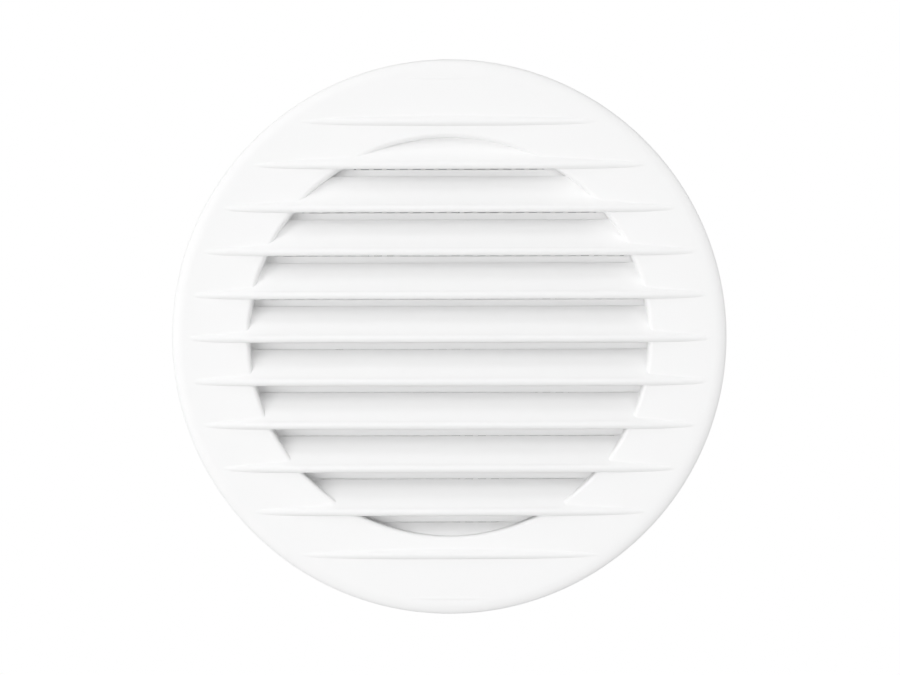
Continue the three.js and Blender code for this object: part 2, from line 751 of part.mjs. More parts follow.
function impeller() {
  const hub = turned([
    [LOOSE_BORE_R, HUB_START_Y],
    [8, HUB_START_Y],
    [17, HUB_START_Y + 1],
    [21.5, HUB_START_Y + 2.6],
    [HUB_R, HUB_START_Y + 5],
    [HUB_R, HUB_END_Y],
    [HUB_R - HUB_WALL, HUB_END_Y],
    [HUB_R - HUB_WALL, HUB_START_Y + 5.6],
    [19.5, HUB_START_Y + 3.6],
    [HUB_BOSS_R, HUB_START_Y + 2.4],
    [HUB_BOSS_R, HUB_BOSS_END_Y],
    [LOOSE_BORE_R, HUB_BOSS_END_Y],
  ], HUB_SIDES);
  const blades = [];
  for (let i = 0; i < BLADES; i += 1) {
    blades.push(impellerBlade((2 * Math.PI * i) / BLADES));
  }
  const pinSlot = block(
    [-HUB_BOSS_R - 1, HUB_BOSS_R + 1],
    [DRIVE_PIN_Y - DRIVE_PIN_R - GAP, HUB_BOSS_END_Y + 1],
    [-DRIVE_PIN_R - GAP, DRIVE_PIN_R + GAP],
  );
  return join([hub, ...blades]).subtract(pinSlot);
}

function impellerNut() {
  const rearY = HUB_START_Y - GAP;
  return turned([
    [0, rearY - 5.2],
    [3, rearY - 5],
    [5.2, rearY - 3.8],
    [6.2, rearY - 2],
    [6.2, rearY],
    [LOOSE_BORE_R, rearY],
    [LOOSE_BORE_R, SHAFT_START_Y - GAP],
    [0, SHAFT_START_Y - GAP],
  ], 12);
}

function drivePin() {
  return bar('x', DRIVE_PIN_R, -DRIVE_PIN_HALF, DRIVE_PIN_HALF, [0, DRIVE_PIN_Y, 0], 8);
}

// Wiring

function terminalBlock() {
  const [bottom, top] = TERMINAL_Z;
  const body = block([-TERMINAL_HALF_X, TERMINAL_HALF_X], [TERMINAL_FRONT_Y, TERMINAL_REAR_Y], TERMINAL_Z);
  const groove = block([-0.8, 0.8], [TERMINAL_GROOVE_Y, TERMINAL_REAR_Y + 1], [bottom - 1, top + 1]);
  const holes = TERMINAL_SCREW_PLACES.map(([x, z]) => (
    bar('y', 1.35, TERMINAL_REAR_Y - 2.2, TERMINAL_REAR_Y + 1, [x, 0, z], SCREW_SIDES)
  ));
  return cut(body, [groove, ...holes]);
}

function terminalScrew([x, z]) {
  const body = bar('y', 1.05, TERMINAL_REAR_Y - 1.9, TERMINAL_REAR_Y - 0.2, [x, 0, z], SCREW_SIDES);
  return body.subtract(block([x - 2, x + 2], [TERMINAL_REAR_Y - 0.7, TERMINAL_REAR_Y], [z - 0.2, z + 0.2]));
}

function terminalCover() {
  const start = BOX_REAR_Y + GAP;
  const end = start + COVER_THICK;
  const plate = block([-BOX_HALF_X, BOX_HALF_X], [start, end], [BOX_FLOOR_Z, BOX_TOP_Z]);
  return cut(plate, [
    block([-LEAD_NOTCH_HALF_X, LEAD_NOTCH_HALF_X], [start - 1, end + 1], [BOX_TOP_Z - 1.2, BOX_TOP_Z + 1]),
    bar('y', 1.5, start - 1, end + 1, [COVER_POST_X, 0, COVER_POST_Z], SCREW_SIDES),
  ]);
}

function terminalCoverScrew() {
  return screw({
    x: COVER_POST_X,
    z: COVER_POST_Z,
    headY: BOX_REAR_Y + GAP + COVER_THICK,
    way: -1,
    headR: 1.9,
    headHeight: 0.6,
    shankR: 0.9,
    length: 7,
  });
}

function cableClamp() {
  const start = CLAMP_POST_END_Y + GAP;
  const end = start + CLAMP_THICK;
  const span = [CLAMP_Z - CLAMP_HALF_Z, CLAMP_Z + CLAMP_HALF_Z];
  const plate = block([-CLAMP_HALF_X, CLAMP_HALF_X], [start, end], span);
  const holes = [-CLAMP_X, CLAMP_X].map((x) => (
    bar('y', 1.3, start - 1, end + 1, [x, 0, CLAMP_Z], SCREW_SIDES)
  ));
  return cut(plate, holes);
}

function clampScrew(x) {
  return screw({
    x,
    z: CLAMP_Z,
    headY: CLAMP_POST_END_Y + CLAMP_THICK + 2 * GAP,
    way: -1,
    headR: 2,
    headHeight: 1.3,
    shankR: 0.9,
    length: 6.5,
  });
}

// A rubber grommet with a groove that holds the tube's wall.
function cableGrommet() {
  const profile = [
    [GROMMET_BORE_R, GROMMET_LOW_Z],
    [GROMMET_RIM_R - 0.4, GROMMET_LOW_Z],
    [GROMMET_RIM_R, GROMMET_LOW_Z + 0.7],
    [INLET_R - GAP, GROMMET_LOW_Z + 0.8],
    [INLET_R - GAP, GROMMET_HIGH_Z - 0.8],
    [GROMMET_RIM_R - 0.2, GROMMET_HIGH_Z - 0.7],
    [GROMMET_RIM_R - 0.6, GROMMET_HIGH_Z],
    [GROMMET_BORE_R, GROMMET_HIGH_Z],
  ].map(([radius, z]) => new THREE.Vector2(radius, z));
  profile.push(profile[0]);
  const geometry = new THREE.LatheGeometry(profile, PIN_SIDES);
  geometry.rotateX(Math.PI / 2);
  geometry.translate(0, INLET_Y, 0);
  return solid(geometry);
}

// One insulated wire from the windings, through the cap, to the terminal block.
function motorLead(side) {
  const route = new THREE.CatmullRomCurve3([
    new THREE.Vector3(side * 1.4, 63.6, -19.4),
    new THREE.Vector3(side * 1.4, 66.5, -19.6),
    new THREE.Vector3(side * 1.4, 70, -19.8),
    new THREE.Vector3(side * 1.5, 73.2, -21.6),
    new THREE.Vector3(side * 1.8, 74.2, -25),
    new THREE.Vector3(side * 2.4, 73.3, -28.4),
    new THREE.Vector3(side * 2.8, 72, -30.6),
  ]);
  return wire(route, 1, 12, 8);
}

// Shutter

function shutterFrame() {
  const floorEnd = SHUTTER_START_Y + SHUTTER_FLOOR;
  const ring = turned([
    [SHUTTER_OPENING_R, SHUTTER_START_Y],
    [CRADLE_R, SHUTTER_START_Y],
    [CRADLE_R, TUBE_END_Y + GAP],
    [TUBE_R, TUBE_END_Y + GAP],
    [TUBE_R, SHUTTER_END_Y],
    [SHUTTER_BORE_R, SHUTTER_END_Y],
    [SHUTTER_BORE_R, floorEnd],
    [SHUTTER_OPENING_R, floorEnd],
  ]);
  const barHalf = SHUTTER_OPENING_R + 1;
  const crossBar = block(
    [-CROSS_BAR_HALF_X, CROSS_BAR_HALF_X],
    [SHUTTER_START_Y, floorEnd],
    [-barHalf, barHalf],
  );
  const bosses = [-1, 1].map((side) => {
    const span = SPINDLE_BOSS_Z.map((z) => side * z).sort((a, b) => a - b);
    return block(
      [-SPINDLE_BOSS_HALF_X, SPINDLE_BOSS_HALF_X],
      [SHUTTER_START_Y + 0.5, SPINDLE_BOSS_END_Y],
      span,
    );
  });
  const bore = bar('z', SPINDLE_R + 0.2, -SPINDLE_HALF - GAP, SPINDLE_HALF + GAP, [0, SPINDLE_Y, 0], 12);
  return join([ring, crossBar, ...bosses]).subtract(bore);
}

function shutterSpindle() {
  return bar('z', SPINDLE_R, -SPINDLE_HALF, SPINDLE_HALF, [0, SPINDLE_Y, 0], 12);
}

// A half-round flap on one side of the spindle, with two knuckles and two ribs.
// side is -1 for the left flap and +1 for the right one; knuckleZ is its upper knuckle.
function flap(side, knuckleZ) {
  const outline = new THREE.Shape();
  outline.absarc(0, 0, FLAP_R, -Math.PI / 2, Math.PI / 2, false);
  outline.closePath();
  const face = [FLAP_FRONT_Y, FLAP_FRONT_Y + FLAP_THICK];
  const wide = [face[0] - 1, face[1] + 1];
  const [trimX, trimZ] = FLAP_TRIM;
  const plate = cut(pushed(outline, face, 18), [
    block([-1, FLAP_EDGE_X], wide, [-FLAP_R - 1, FLAP_R + 1]),
    block([-1, trimX], wide, [trimZ, FLAP_R + 1]),
    block([-1, trimX], wide, [-FLAP_R - 1, -trimZ]),
  ]);
  const pieces = [plate];
  for (const middle of [-knuckleZ, knuckleZ]) {
    const span = [middle - KNUCKLE_LENGTH / 2, middle + KNUCKLE_LENGTH / 2];
    const ribEnd = Math.sqrt((FLAP_R - 2) ** 2 - (knuckleZ + RIB_THICK) ** 2);
    const rib = [middle - RIB_THICK / 2, middle + RIB_THICK / 2];
    pieces.push(bar('z', KNUCKLE_R, ...span, [0, SPINDLE_Y, 0], 12));
    pieces.push(block([0, FLAP_EDGE_X + 1], face, span));
    pieces.push(block([2, ribEnd], [face[1] - 0.4, face[1] + 1.5], rib));
  }
  const bore = bar('z', HINGE_BORE_R, -FLAP_R, FLAP_R, [0, SPINDLE_Y, 0], 12);
  const right = join(pieces).subtract(bore);
  return side > 0 ? right : right.mirror([1, 0, 0]);
}

// A torsion spring coiled round the spindle, with one leg lying on its flap.
function flapSpring(side, startZ) {
  const points = [];
  const perTurn = 8;
  for (let i = 0; i <= SPRING_TURNS * perTurn; i += 1) {
    const angle = (2 * Math.PI * i) / perTurn;
    const x = side * SPRING_COIL_R * Math.cos(angle);
    const y = SPINDLE_Y + SPRING_COIL_R * Math.sin(angle);
    points.push(new THREE.Vector3(x, y, startZ + (SPRING_PITCH * i) / perTurn));
  }
  const endZ = points[points.length - 1].z + 0.6;
  const legY = FLAP_FRONT_Y + FLAP_THICK + SPRING_WIRE_R + GAP;
  for (const x of [3.6, 9, 15]) {
    points.push(new THREE.Vector3(side * x, legY, endZ));
  }
  return wire(new THREE.CatmullRomCurve3(points, false, 'centripetal'), SPRING_WIRE_R, 36, 5);
}

// Materials

function plastic(color, roughness) {
  return new THREE.MeshStandardMaterial({ color, roughness, metalness: 0 });
}

function metal(color, roughness) {
  return new THREE.MeshStandardMaterial({ color, roughness, metalness: 1 });
}

const WHITE_GLOSS = plastic(0xf4f4f2, 0.35);
const WHITE_MATT = plastic(0xeeeeeb, 0.55);
const PALE_GREY = plastic(0xc9ccce, 0.45);
const DARK_GREY = plastic(0x4a4d50, 0.5);
const CREAM = plastic(0xe6dfc8, 0.5);
const BLACK_RUBBER = plastic(0x1c1c1c, 0.85);
const BROWN_WIRE = plastic(0x6b3f22, 0.5);
const BLUE_WIRE = plastic(0x2a5ca8, 0.5);
const STEEL = metal(0xb8bcc0, 0.3);
const LAMINATION = metal(0x70757a, 0.55);
const COPPER = metal(0xb8693a, 0.35);
const BRASS = metal(0xc9a44c, 0.35);
const ALUMINIUM = metal(0xc4c8cc, 0.4);

// The whole fan

const fan = new THREE.Group();

function place(name, piece, material) {
  const made = piece.getMesh();
  const geometry = new THREE.BufferGeometry();
  geometry.setAttribute('position', new THREE.BufferAttribute(Float32Array.from(made.vertProperties), 3));
  geometry.setIndex(new THREE.BufferAttribute(Uint32Array.from(made.triVerts), 1));
  geometry.computeVertexNormals();
  const mesh = new THREE.Mesh(geometry, material);
  mesh.name = name;
  fan.add(mesh);
}

place('front_grille', frontGrille(), WHITE_GLOSS);
place('guard_screen', guardScreen(), WHITE_MATT);
place('housing_tube', housingTube(), WHITE_MATT);
place('duct_seal_ring', ductSealRing(), BLACK_RUBBER);

place('motor_cradle', motorCradle(), DARK_GREY);
place('motor_cap', motorCap(), DARK_GREY);
EAR_ANGLES.forEach((degrees, index) => {
  place(`motor_cap_screw_${index + 1}`, motorCapScrew(degrees), STEEL);
});

place('stator_core', statorCore(), LAMINATION);
for (let index = 0; index < POLES; index += 1) {
  place(`pole_coil_${index + 1}`, poleCoil(index), COPPER);
  place(`shading_ring_${index + 1}`, shadingRing(index), COPPER);
}
place('thermal_cutout', thermalCutout(), CREAM);
place('rotor_core', rotorCore(), ALUMINIUM);
place('rotor_shaft', rotorShaft(), STEEL);
place('front_bearing', bearing(FRONT_BEARING), BRASS);
place('rear_bearing', bearing(REAR_BEARING), BRASS);
place('front_thrust_washer', thrustWasher(FRONT_BEARING[1] + 0.6), CREAM);
place('rear_thrust_washer', thrustWasher(REAR_BEARING[0] - 0.4 - WASHER_THICK), CREAM);

place('impeller', impeller(), PALE_GREY);
place('impeller_nut', impellerNut(), DARK_GREY);
place('drive_pin', drivePin(), STEEL);

place('terminal_block', terminalBlock(), CREAM);
TERMINAL_SCREW_PLACES.forEach((spot, index) => {
  place(`terminal_screw_${index + 1}`, terminalScrew(spot), BRASS);
});
place('terminal_cover', terminalCover(), DARK_GREY);
place('terminal_cover_screw', terminalCoverScrew(), STEEL);
place('cable_clamp', cableClamp(), CREAM);
place('clamp_screw_1', clampScrew(-CLAMP_X), STEEL);
place('clamp_screw_2', clampScrew(CLAMP_X), STEEL);
place('cable_grommet', cableGrommet(), BLACK_RUBBER);
place('motor_lead_live', motorLead(1), BROWN_WIRE);
place('motor_lead_neutral', motorLead(-1), BLUE_WIRE);

place('shutter_frame', shutterFrame(), WHITE_MATT);
place('shutter_spindle', shutterSpindle(), STEEL);
place('flap_left', flap(-1, 15), PALE_GREY);
place('flap_right', flap(1, 27), PALE_GREY);
place('flap_spring_left', flapSpring(-1, 1.5), STEEL);
place('flap_spring_right', flapSpring(1, -6), STEEL);

export default fan;
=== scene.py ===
"""Looks of the in-duct bathroom extractor fan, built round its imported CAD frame.

Shapes are made in millimetres in the frame's own axes and scaled to metres when they are finished:
the fan's axis is Y, the wall's face is y = 0, the room is at negative y and +Z is up.
"""

import json
import math

import bmesh
import bpy
from mathutils import Matrix, Vector

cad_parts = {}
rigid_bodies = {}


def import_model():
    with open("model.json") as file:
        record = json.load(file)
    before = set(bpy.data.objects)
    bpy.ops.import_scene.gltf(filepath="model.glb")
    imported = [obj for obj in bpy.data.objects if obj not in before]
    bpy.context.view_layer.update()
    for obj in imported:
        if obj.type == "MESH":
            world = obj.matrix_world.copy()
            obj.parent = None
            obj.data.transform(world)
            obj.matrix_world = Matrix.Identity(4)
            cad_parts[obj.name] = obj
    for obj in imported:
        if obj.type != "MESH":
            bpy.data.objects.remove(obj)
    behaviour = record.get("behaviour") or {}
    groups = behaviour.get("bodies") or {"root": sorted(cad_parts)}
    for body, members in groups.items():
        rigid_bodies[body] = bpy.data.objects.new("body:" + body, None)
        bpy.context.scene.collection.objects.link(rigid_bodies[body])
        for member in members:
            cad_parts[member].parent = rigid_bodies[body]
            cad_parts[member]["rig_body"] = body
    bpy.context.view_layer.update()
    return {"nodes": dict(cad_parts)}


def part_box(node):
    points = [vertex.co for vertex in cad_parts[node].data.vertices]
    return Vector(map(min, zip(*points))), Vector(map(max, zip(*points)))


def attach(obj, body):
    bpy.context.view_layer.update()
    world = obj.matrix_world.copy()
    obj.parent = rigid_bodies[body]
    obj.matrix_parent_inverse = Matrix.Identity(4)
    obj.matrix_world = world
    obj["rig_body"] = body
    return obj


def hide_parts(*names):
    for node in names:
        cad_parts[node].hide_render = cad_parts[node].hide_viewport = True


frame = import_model()

MM = 0.001
RING_SIDES = 256  # round the large rings
HUB_SIDES = 128  # round the motor's and the impeller's middle parts
PIN_SIDES = 48
SCREW_SIDES = 32
SHARP_ANGLE = math.radians(29)  # a crease steeper than this stays crisp
PLAY = 0.3  # left between pieces that mustn't touch


# The frame's own sizes


def box_mm(node):
    """Lowest and highest corner of a CAD node, in millimetres."""
    low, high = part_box(node)
    return low / MM, high / MM


# Grille

GRILLE_R = box_mm("front_grille")[1].x
COLLAR_END_Y = box_mm("front_grille")[1].y
FACE_Y = -4.0  # front of the flat flange
RIM_WIDTH = 2.8  # the flange curves back over this much of its edge
RIM_DEPTH = 1.2
SKIN = 1.8
DOME_R = 60.9  # the louvre noses reach the flange on this circle
DOME_HEIGHT = FACE_Y - box_mm("front_grille")[0].y
LIP_ROUND = 1.1
THROAT_REAR_R = 45.8
SEAT_Y = 1.7
SEAT_R = 46.3
COLLAR_R = 47.1
LOUVRE_PITCH = 10.0
LOUVRE_REACH = 6  # louvres above the middle one, and as many below it
LOUVRE_THICK = 1.5
LOUVRE_LEAN = math.radians(40)  # of the louvre's face, from vertical
LOUVRE_TOP = 7.15  # from the louvre's level up to its top edge
NOSE_R = 1.0
NOSE_DROP = 0.35  # the bead along the nose hangs this far below the louvre's level
NOSE_PROUD = 0.1  # and stands this far out of the louvre's face

# Guard screen

GUARD_LOW, GUARD_HIGH = box_mm("guard_screen")
GUARD_R = GUARD_HIGH.x
GUARD_HOLES_R = 44.6
RIB_PITCH = 3.0
RIB_WIDTH = 1.1
RIB_REACH = 14  # ribs on each side of the middle one
BAR_HEIGHT = 1.6
BAR_THICK = 0.8
BAR_REACH = 4  # bars above the middle one, and as many below it
BAR_DROP = 2.15  # a bar's middle lies this far under its louvre's level
RIB_OVERLAP = 0.3  # the ribs reach this far into the bars in front of them


# Tools that make and join closed meshes


def mesh_object(points, faces):
    """A closed mesh in millimetres, with its faces pointing out."""
    mesh = bpy.data.meshes.new("made")
    mesh.from_pydata(points, [], faces)
    shape = bmesh.new()
    shape.from_mesh(mesh)
    bmesh.ops.recalc_face_normals(shape, faces=shape.faces)
    shape.to_mesh(mesh)
    shape.free()
    made = bpy.data.objects.new("made", mesh)
    bpy.context.scene.collection.objects.link(made)
    return made


def corners_of(first, second):
    """A rectangle between two values one way and two values the other."""
    return [(first[0], second[0]), (first[1], second[0]), (first[1], second[1]), (first[0], second[1])]


def rounded(corners, steps=5):
    """A closed outline. A corner with a third value is an arc of that radius."""
    outline = []
    for index, corner in enumerate(corners):
        here = Vector(corner[:2])
        if len(corner) < 3:
            outline.append(tuple(here))
            continue
        before = (Vector(corners[index - 1][:2]) - here).normalized()
        after = (Vector(corners[(index + 1) % len(corners)][:2]) - here).normalized()
        half = before.angle(after) / 2
        middle = here + (before + after).normalized() * corner[2] / math.sin(half)
        start = here + before * corner[2] / math.tan(half) - middle
        end = here + after * corner[2] / math.tan(half) - middle
        first = math.atan2(start.y, start.x)
        turn = (math.atan2(end.y, end.x) - first + math.pi) % math.tau - math.pi
        for step in range(steps + 1):
            angle = first + turn * step / steps
            outline.append((middle.x + corner[2] * math.cos(angle), middle.y + corner[2] * math.sin(angle)))
    return outline


def turned(corners, sides=RING_SIDES):
    """A body turned about the Y axis. The corners (radius, y) close on themselves or on the axis."""
    points = []
    rings = []
    for radius, y in corners:
        if radius < 1e-6:
            rings.append([len(points)] * sides)
            points.append((0, y, 0))
            continue
        rings.append(list(range(len(points), len(points) + sides)))
        for side in range(sides):
            angle = math.tau * side / sides
            points.append((radius * math.sin(angle), y, radius * math.cos(angle)))
    faces = []
    for index, ring in enumerate(rings):
        other = rings[(index + 1) % len(rings)]
        if ring[0] == ring[-1] and other[0] == other[-1]:
            continue
        for side in range(sides):
            after = (side + 1) % sides
            corner_ids = [ring[side], ring[after], other[after], other[side]]
            faces.append(list(dict.fromkeys(corner_ids)))
    return mesh_object(points, faces)


def lathed(corners, sides=RING_SIDES, steps=5):
    """A body turned about the Y axis from corners that may be rounded."""
    return turned(rounded(corners, steps), sides)


def lofted(points, count):
    """A closed body with flat ends. The points come ring after ring, as many in each as the count."""
    faces = [list(range(count)), list(range(len(points) - count, len(points)))]
    for low in range(0, len(points) - count, count):
        high = low + count
        for index in range(count):
            after = (index + 1) % count
            faces.append([low + index, low + after, high + after, high + index])
    return mesh_object(points, faces)


def bevelled(made, size, edges=None):
    """Rounds the edges that a test picks, or every edge."""
    shape = bmesh.new()
    shape.from_mesh(made.data)
    picked = [edge for edge in shape.edges if edges is None or edges(edge)]
    bmesh.ops.bevel(shape, geom=picked, offset=size, segments=3, profile=0.5, affect="EDGES")
    shape.to_mesh(made.data)
    shape.free()
    return made


def pushed(outline, start, end, bevel=0.0):
    """An outline in X and Z pushed from one y to another, with rounded end edges."""
    made = lofted([(x, y, z) for y in (start, end) for x, z in outline], len(outline))
    if not bevel:
        return made
    return bevelled(made, bevel, lambda edge: abs(edge.verts[0].co.y - edge.verts[1].co.y) < 1e-6)


def block(x, y, z, bevel):
    """A box between pairs of limits, with rounded edges unless the bevel is 0."""
    made = pushed(corners_of(x, z), *y)
    return bevelled(made, bevel) if bevel else made


def rod(direction, radius, start, end, centre=(0, 0, 0), sides=PIN_SIDES, chamfer=0.0):
    """A round bar along x, y or z, between two positions along its own direction."""
    if chamfer:
        corners = [(0, start), (radius - chamfer, start), (radius, start + chamfer)]
        corners += [(radius, end - chamfer), (radius - chamfer, end), (0, end)]
    else:
        corners = [(0, start), (radius, start), (radius, end), (0, end)]
    made = turned(corners, sides)
    if direction == "x":
        made.data.transform(Matrix.Rotation(-math.pi / 2, 4, "Z"))
    if direction == "z":
        made.data.transform(Matrix.Rotation(math.pi / 2, 4, "X"))
    made.data.transform(Matrix.Translation(centre))
    return made


def peg(place, radius, start, end, chamfer=0.0):
    """A slim round bar along Y at a place (x, z)."""
    return rod("y", radius, start, end, (place[0], 0, place[1]), SCREW_SIDES, chamfer)


def about_axis(made, degrees):
    """A piece turned about the fan's axis, by an angle from +X towards +Z."""
    made.data.transform(Matrix.Rotation(-math.radians(degrees), 4, "Y"))
    return made


def moved(made, offset):
    made.data.transform(Matrix.Translation(offset))
    return made


def swept(path, radius, sides):
    """A round wire along points, with closed ends."""
    path = [Vector(point) for point in path]
    points = []
    side_way = None
    for index, here in enumerate(path):
        ahead = (path[min(index + 1, len(path) - 1)] - path[max(index - 1, 0)]).normalized()
        if side_way is None:
            side_way = ahead.orthogonal()
        side_way = (side_way - ahead * side_way.dot(ahead)).normalized()
        up_way = ahead.cross(side_way)
        for side in range(sides):
            angle = math.tau * side / sides
            points.append(here + radius * (math.cos(angle) * side_way + math.sin(angle) * up_way))
    return lofted(points, sides)


def smooth_path(knots, per_span=8):
    """Points along a Catmull-Rom curve through the knots."""
    knots = [Vector(knot) for knot in knots]
    padded = [2 * knots[0] - knots[1], *knots, 2 * knots[-1] - knots[-2]]
    path = []
    for a, b, c, d in zip(padded, padded[1:], padded[2:], padded[3:]):
        bend = 2 * a - 5 * b + 4 * c - d
        twist = 3 * b - a - 3 * c + d
        for step in range(per_span):
            t = step / per_span
            path.append(0.5 * (2 * b + (c - a) * t + bend * t**2 + twist * t**3))
    return [*path, knots[-1]]


def combined(base, tools, operation="UNION"):
    """The base with tools joined to it, or with another boolean operation."""
    for tool in tools:
        modifier = base.modifiers.new("shape", "BOOLEAN")
        modifier.operation = operation
        modifier.solver = "MANIFOLD"
        modifier.object = tool
    graph = bpy.context.evaluated_depsgraph_get()
    mesh = bpy.data.meshes.new_from_object(base.evaluated_get(graph))
    base.modifiers.clear()
    base.data = mesh
    for tool in tools:
        bpy.data.objects.remove(tool)
    return base


def cut(base, tools):
    return combined(base, tools, "DIFFERENCE")


def gathered(parts):
    """Separate bodies that don't touch, as one mesh."""
    shape = bmesh.new()
    for part in parts:
        shape.from_mesh(part.data)
    shape.to_mesh(parts[0].data)
    shape.free()
    for part in parts[1:]:
        bpy.data.objects.remove(part)
    return parts[0]


def finished(made, node, material):
    """Scales a piece to metres, shades it, and lets it stand for its CAD node on that node's body."""
    made.data.transform(Matrix.Scale(MM, 4))
    mesh = made.data
    mesh.polygons.foreach_set("use_smooth", [True] * len(mesh.polygons))
    mesh.set_sharp_from_angle(angle=SHARP_ANGLE)
    mesh.materials.clear()
    mesh.materials.append(material)
    mesh.polygons.foreach_set("material_index", [0] * len(mesh.polygons))
    normals = made.modifiers.new("normals", "WEIGHTED_NORMAL")
    normals.keep_sharp = True
    made.name = f"{node}_look"
    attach(made, frame["nodes"][node]["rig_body"])
    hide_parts(node)
    return made


# Materials


class Nodes:
    """Builds one material's node tree, with short names for what the finishes share."""

    def __init__(self, name):
        self.material = bpy.data.materials.new(name)
        self.material.use_nodes = True
        self.tree = self.material.node_tree
        self.shader = self.tree.nodes["Principled BSDF"]
        self.place = self.tree.nodes.new("ShaderNodeTexCoord").outputs["Object"]

    def node(self, kind, inputs=(), **settings):
        made = self.tree.nodes.new(f"ShaderNode{kind}")
        for name, value in settings.items():
            setattr(made, name, value)
        for name, value in dict(inputs).items():
            self.feed(made.inputs[name], value)
        return made

    def feed(self, socket, value):
        if isinstance(value, bpy.types.NodeSocket):
            self.tree.links.new(value, socket)
        else:
            socket.default_value = value

    def noise(self, size_mm, detail, stretch=(1, 1, 1)):
        """Noise with features of that size. It is drawn out along an axis whose stretch is above 1."""
        scale = tuple(1 / way for way in stretch)
        mapped = self.node("Mapping", {"Vector": self.place, "Scale": scale})
        inputs = {"Vector": mapped.outputs["Vector"], "Scale": 1 / (size_mm * MM), "Detail": detail}
        return self.node("TexNoise", inputs).outputs["Fac"]

    def ranged(self, value, low, high):
        return self.node("MapRange", {"Value": value, "To Min": low, "To Max": high}).outputs["Result"]

    def between(self, factor, first, second):
        """A mix of two colours. The node's colours are its inputs 6 and 7 and its output 2."""
        made = self.node("Mix", data_type="RGBA")
        self.feed(made.inputs["Factor"], factor)
        for socket, colour in zip((made.inputs[6], made.inputs[7]), (first, second)):
            self.feed(socket, (*colour, 1))
        return made.outputs[2]

    def bump(self, height, depth_mm, after=None):
        inputs = {"Height": height, "Distance": depth_mm * MM, "Strength": 1.0}
        if after is not None:
            inputs["Normal"] = after
        return self.node("Bump", inputs).outputs["Normal"]

    def set(self, **values):
        for name, value in values.items():
            self.feed(self.shader.inputs[name.replace("_", " ")], value)
        return self.material


def shade(colour, factor):
    return tuple(channel * factor for channel in colour)


def plastic(name, colour, roughness, grain_mm, grain_depth, mottle=0.02):
    """Moulded plastic: a fine spark-eroded grain, faint flow marks and slightly uneven gloss."""
    nodes = Nodes(name)
    flow = nodes.noise(14, 3, (1, 1, 2.5))
    patches = nodes.noise(4, 2)
    grain = nodes.noise(grain_mm, 1)
    tint = nodes.between(flow, shade(colour, 1 - mottle), colour)
    normal = nodes.bump(grain, grain_depth)
    normal = nodes.bump(flow, 0.02, normal)
    return nodes.set(
        Base_Color=tint,
        Roughness=nodes.ranged(patches, roughness - 0.05, roughness + 0.05),
        IOR=1.5,
        Normal=normal,
    )


def metal(name, colour, roughness, lines=(1, 1, 1), line_mm=0.12, depth=0.004):
    """Bare or plated metal, with fine tool marks drawn out along an axis."""
    nodes = Nodes(name)
    marks = nodes.noise(line_mm, 3, lines)
    cloud = nodes.noise(2.5, 3)
    tint = nodes.between(cloud, shade(colour, 0.82), colour)
    return nodes.set(
        Base_Color=tint,
        Metallic=1.0,
        Roughness=nodes.ranged(cloud, roughness - 0.07, roughness + 0.1),
        Normal=nodes.bump(marks, depth),
    )


def rubber(name, colour):
    """Moulded rubber with a dusty bloom."""
    nodes = Nodes(name)
    bloom = nodes.noise(3, 4)
    grain = nodes.noise(0.12, 2)
    tint = nodes.between(bloom, colour, shade(colour, 2.2))
    return nodes.set(
        Base_Color=tint,
        Roughness=nodes.ranged(bloom, 0.62, 0.85),
        Normal=nodes.bump(grain, 0.01),
    )


def banded(name, colour, roughness, axis, band_mm, depth, metallic):
    """Metal in layers, with a groove every band along an axis."""
    nodes = Nodes(name)
    scale = math.tau / (20 * band_mm * MM)  # the wave texture turns 20 radians in a unit
    inputs = {"Vector": nodes.place, "Scale": scale, "Distortion": 0.0}
    wave = nodes.node("TexWave", inputs, bands_direction=axis).outputs["Fac"]
    cloud = nodes.noise(3, 3)
    tint = nodes.between(wave, shade(colour, 0.6), colour)
    normal = nodes.bump(wave, depth)
    return nodes.set(
        Base_Color=tint,
        Metallic=metallic,
        Roughness=nodes.ranged(cloud, roughness - 0.06, roughness + 0.08),
        Normal=normal,
    )


GRILLE_WHITE = plastic("grille_white", (0.95, 0.95, 0.95), 0.6, 0.3, 0.002, 0.006)
SCREEN_WHITE = plastic("screen_white", (0.96, 0.96, 0.96), 0.5, 0.25, 0.003, 0.01)
HOUSING_WHITE = plastic("housing_white", (0.82, 0.82, 0.81), 0.5, 0.3, 0.008)
MOTOR_GREY = plastic("motor_grey", (0.055, 0.06, 0.066), 0.48, 0.35, 0.012, 0.12)
IMPELLER_GREY = plastic("impeller_grey", (0.62, 0.64, 0.66), 0.38, 0.3, 0.004)
FLAP_WHITE = plastic("flap_white", (0.76, 0.76, 0.75), 0.42, 0.3, 0.006)
TERMINAL_CREAM = plastic("terminal_cream", (0.76, 0.7, 0.55), 0.45, 0.3, 0.006, 0.05)
BLACK_RUBBER = rubber("black_rubber", (0.018, 0.018, 0.019))
BROWN_WIRE = plastic("brown_insulation", (0.16, 0.06, 0.025), 0.36, 0.4, 0.004, 0.08)
BLUE_WIRE = plastic("blue_insulation", (0.02, 0.11, 0.42), 0.36, 0.4, 0.004, 0.08)
STEEL = metal("zinc_plated_steel", (0.66, 0.68, 0.7), 0.28)
LAMINATION = banded("laminated_steel", (0.2, 0.21, 0.23), 0.45, "Y", 0.5, 0.03, 0.9)
COPPER = metal("enamelled_copper", (0.72, 0.3, 0.12), 0.3, (1, 1, 3), 0.3, 0.01)
BRASS = metal("turned_brass", (0.78, 0.58, 0.25), 0.3, (4, 1, 4), 0.15, 0.004)
ALUMINIUM = metal("cast_aluminium", (0.7, 0.71, 0.73), 0.42, (1, 1, 1), 0.4, 0.012)


# Grille


def dome_height(x, z):
    """How far the dome stands in front of the flange at a point of the face."""
    return DOME_HEIGHT * (1 - (x * x + z * z) / DOME_R**2)


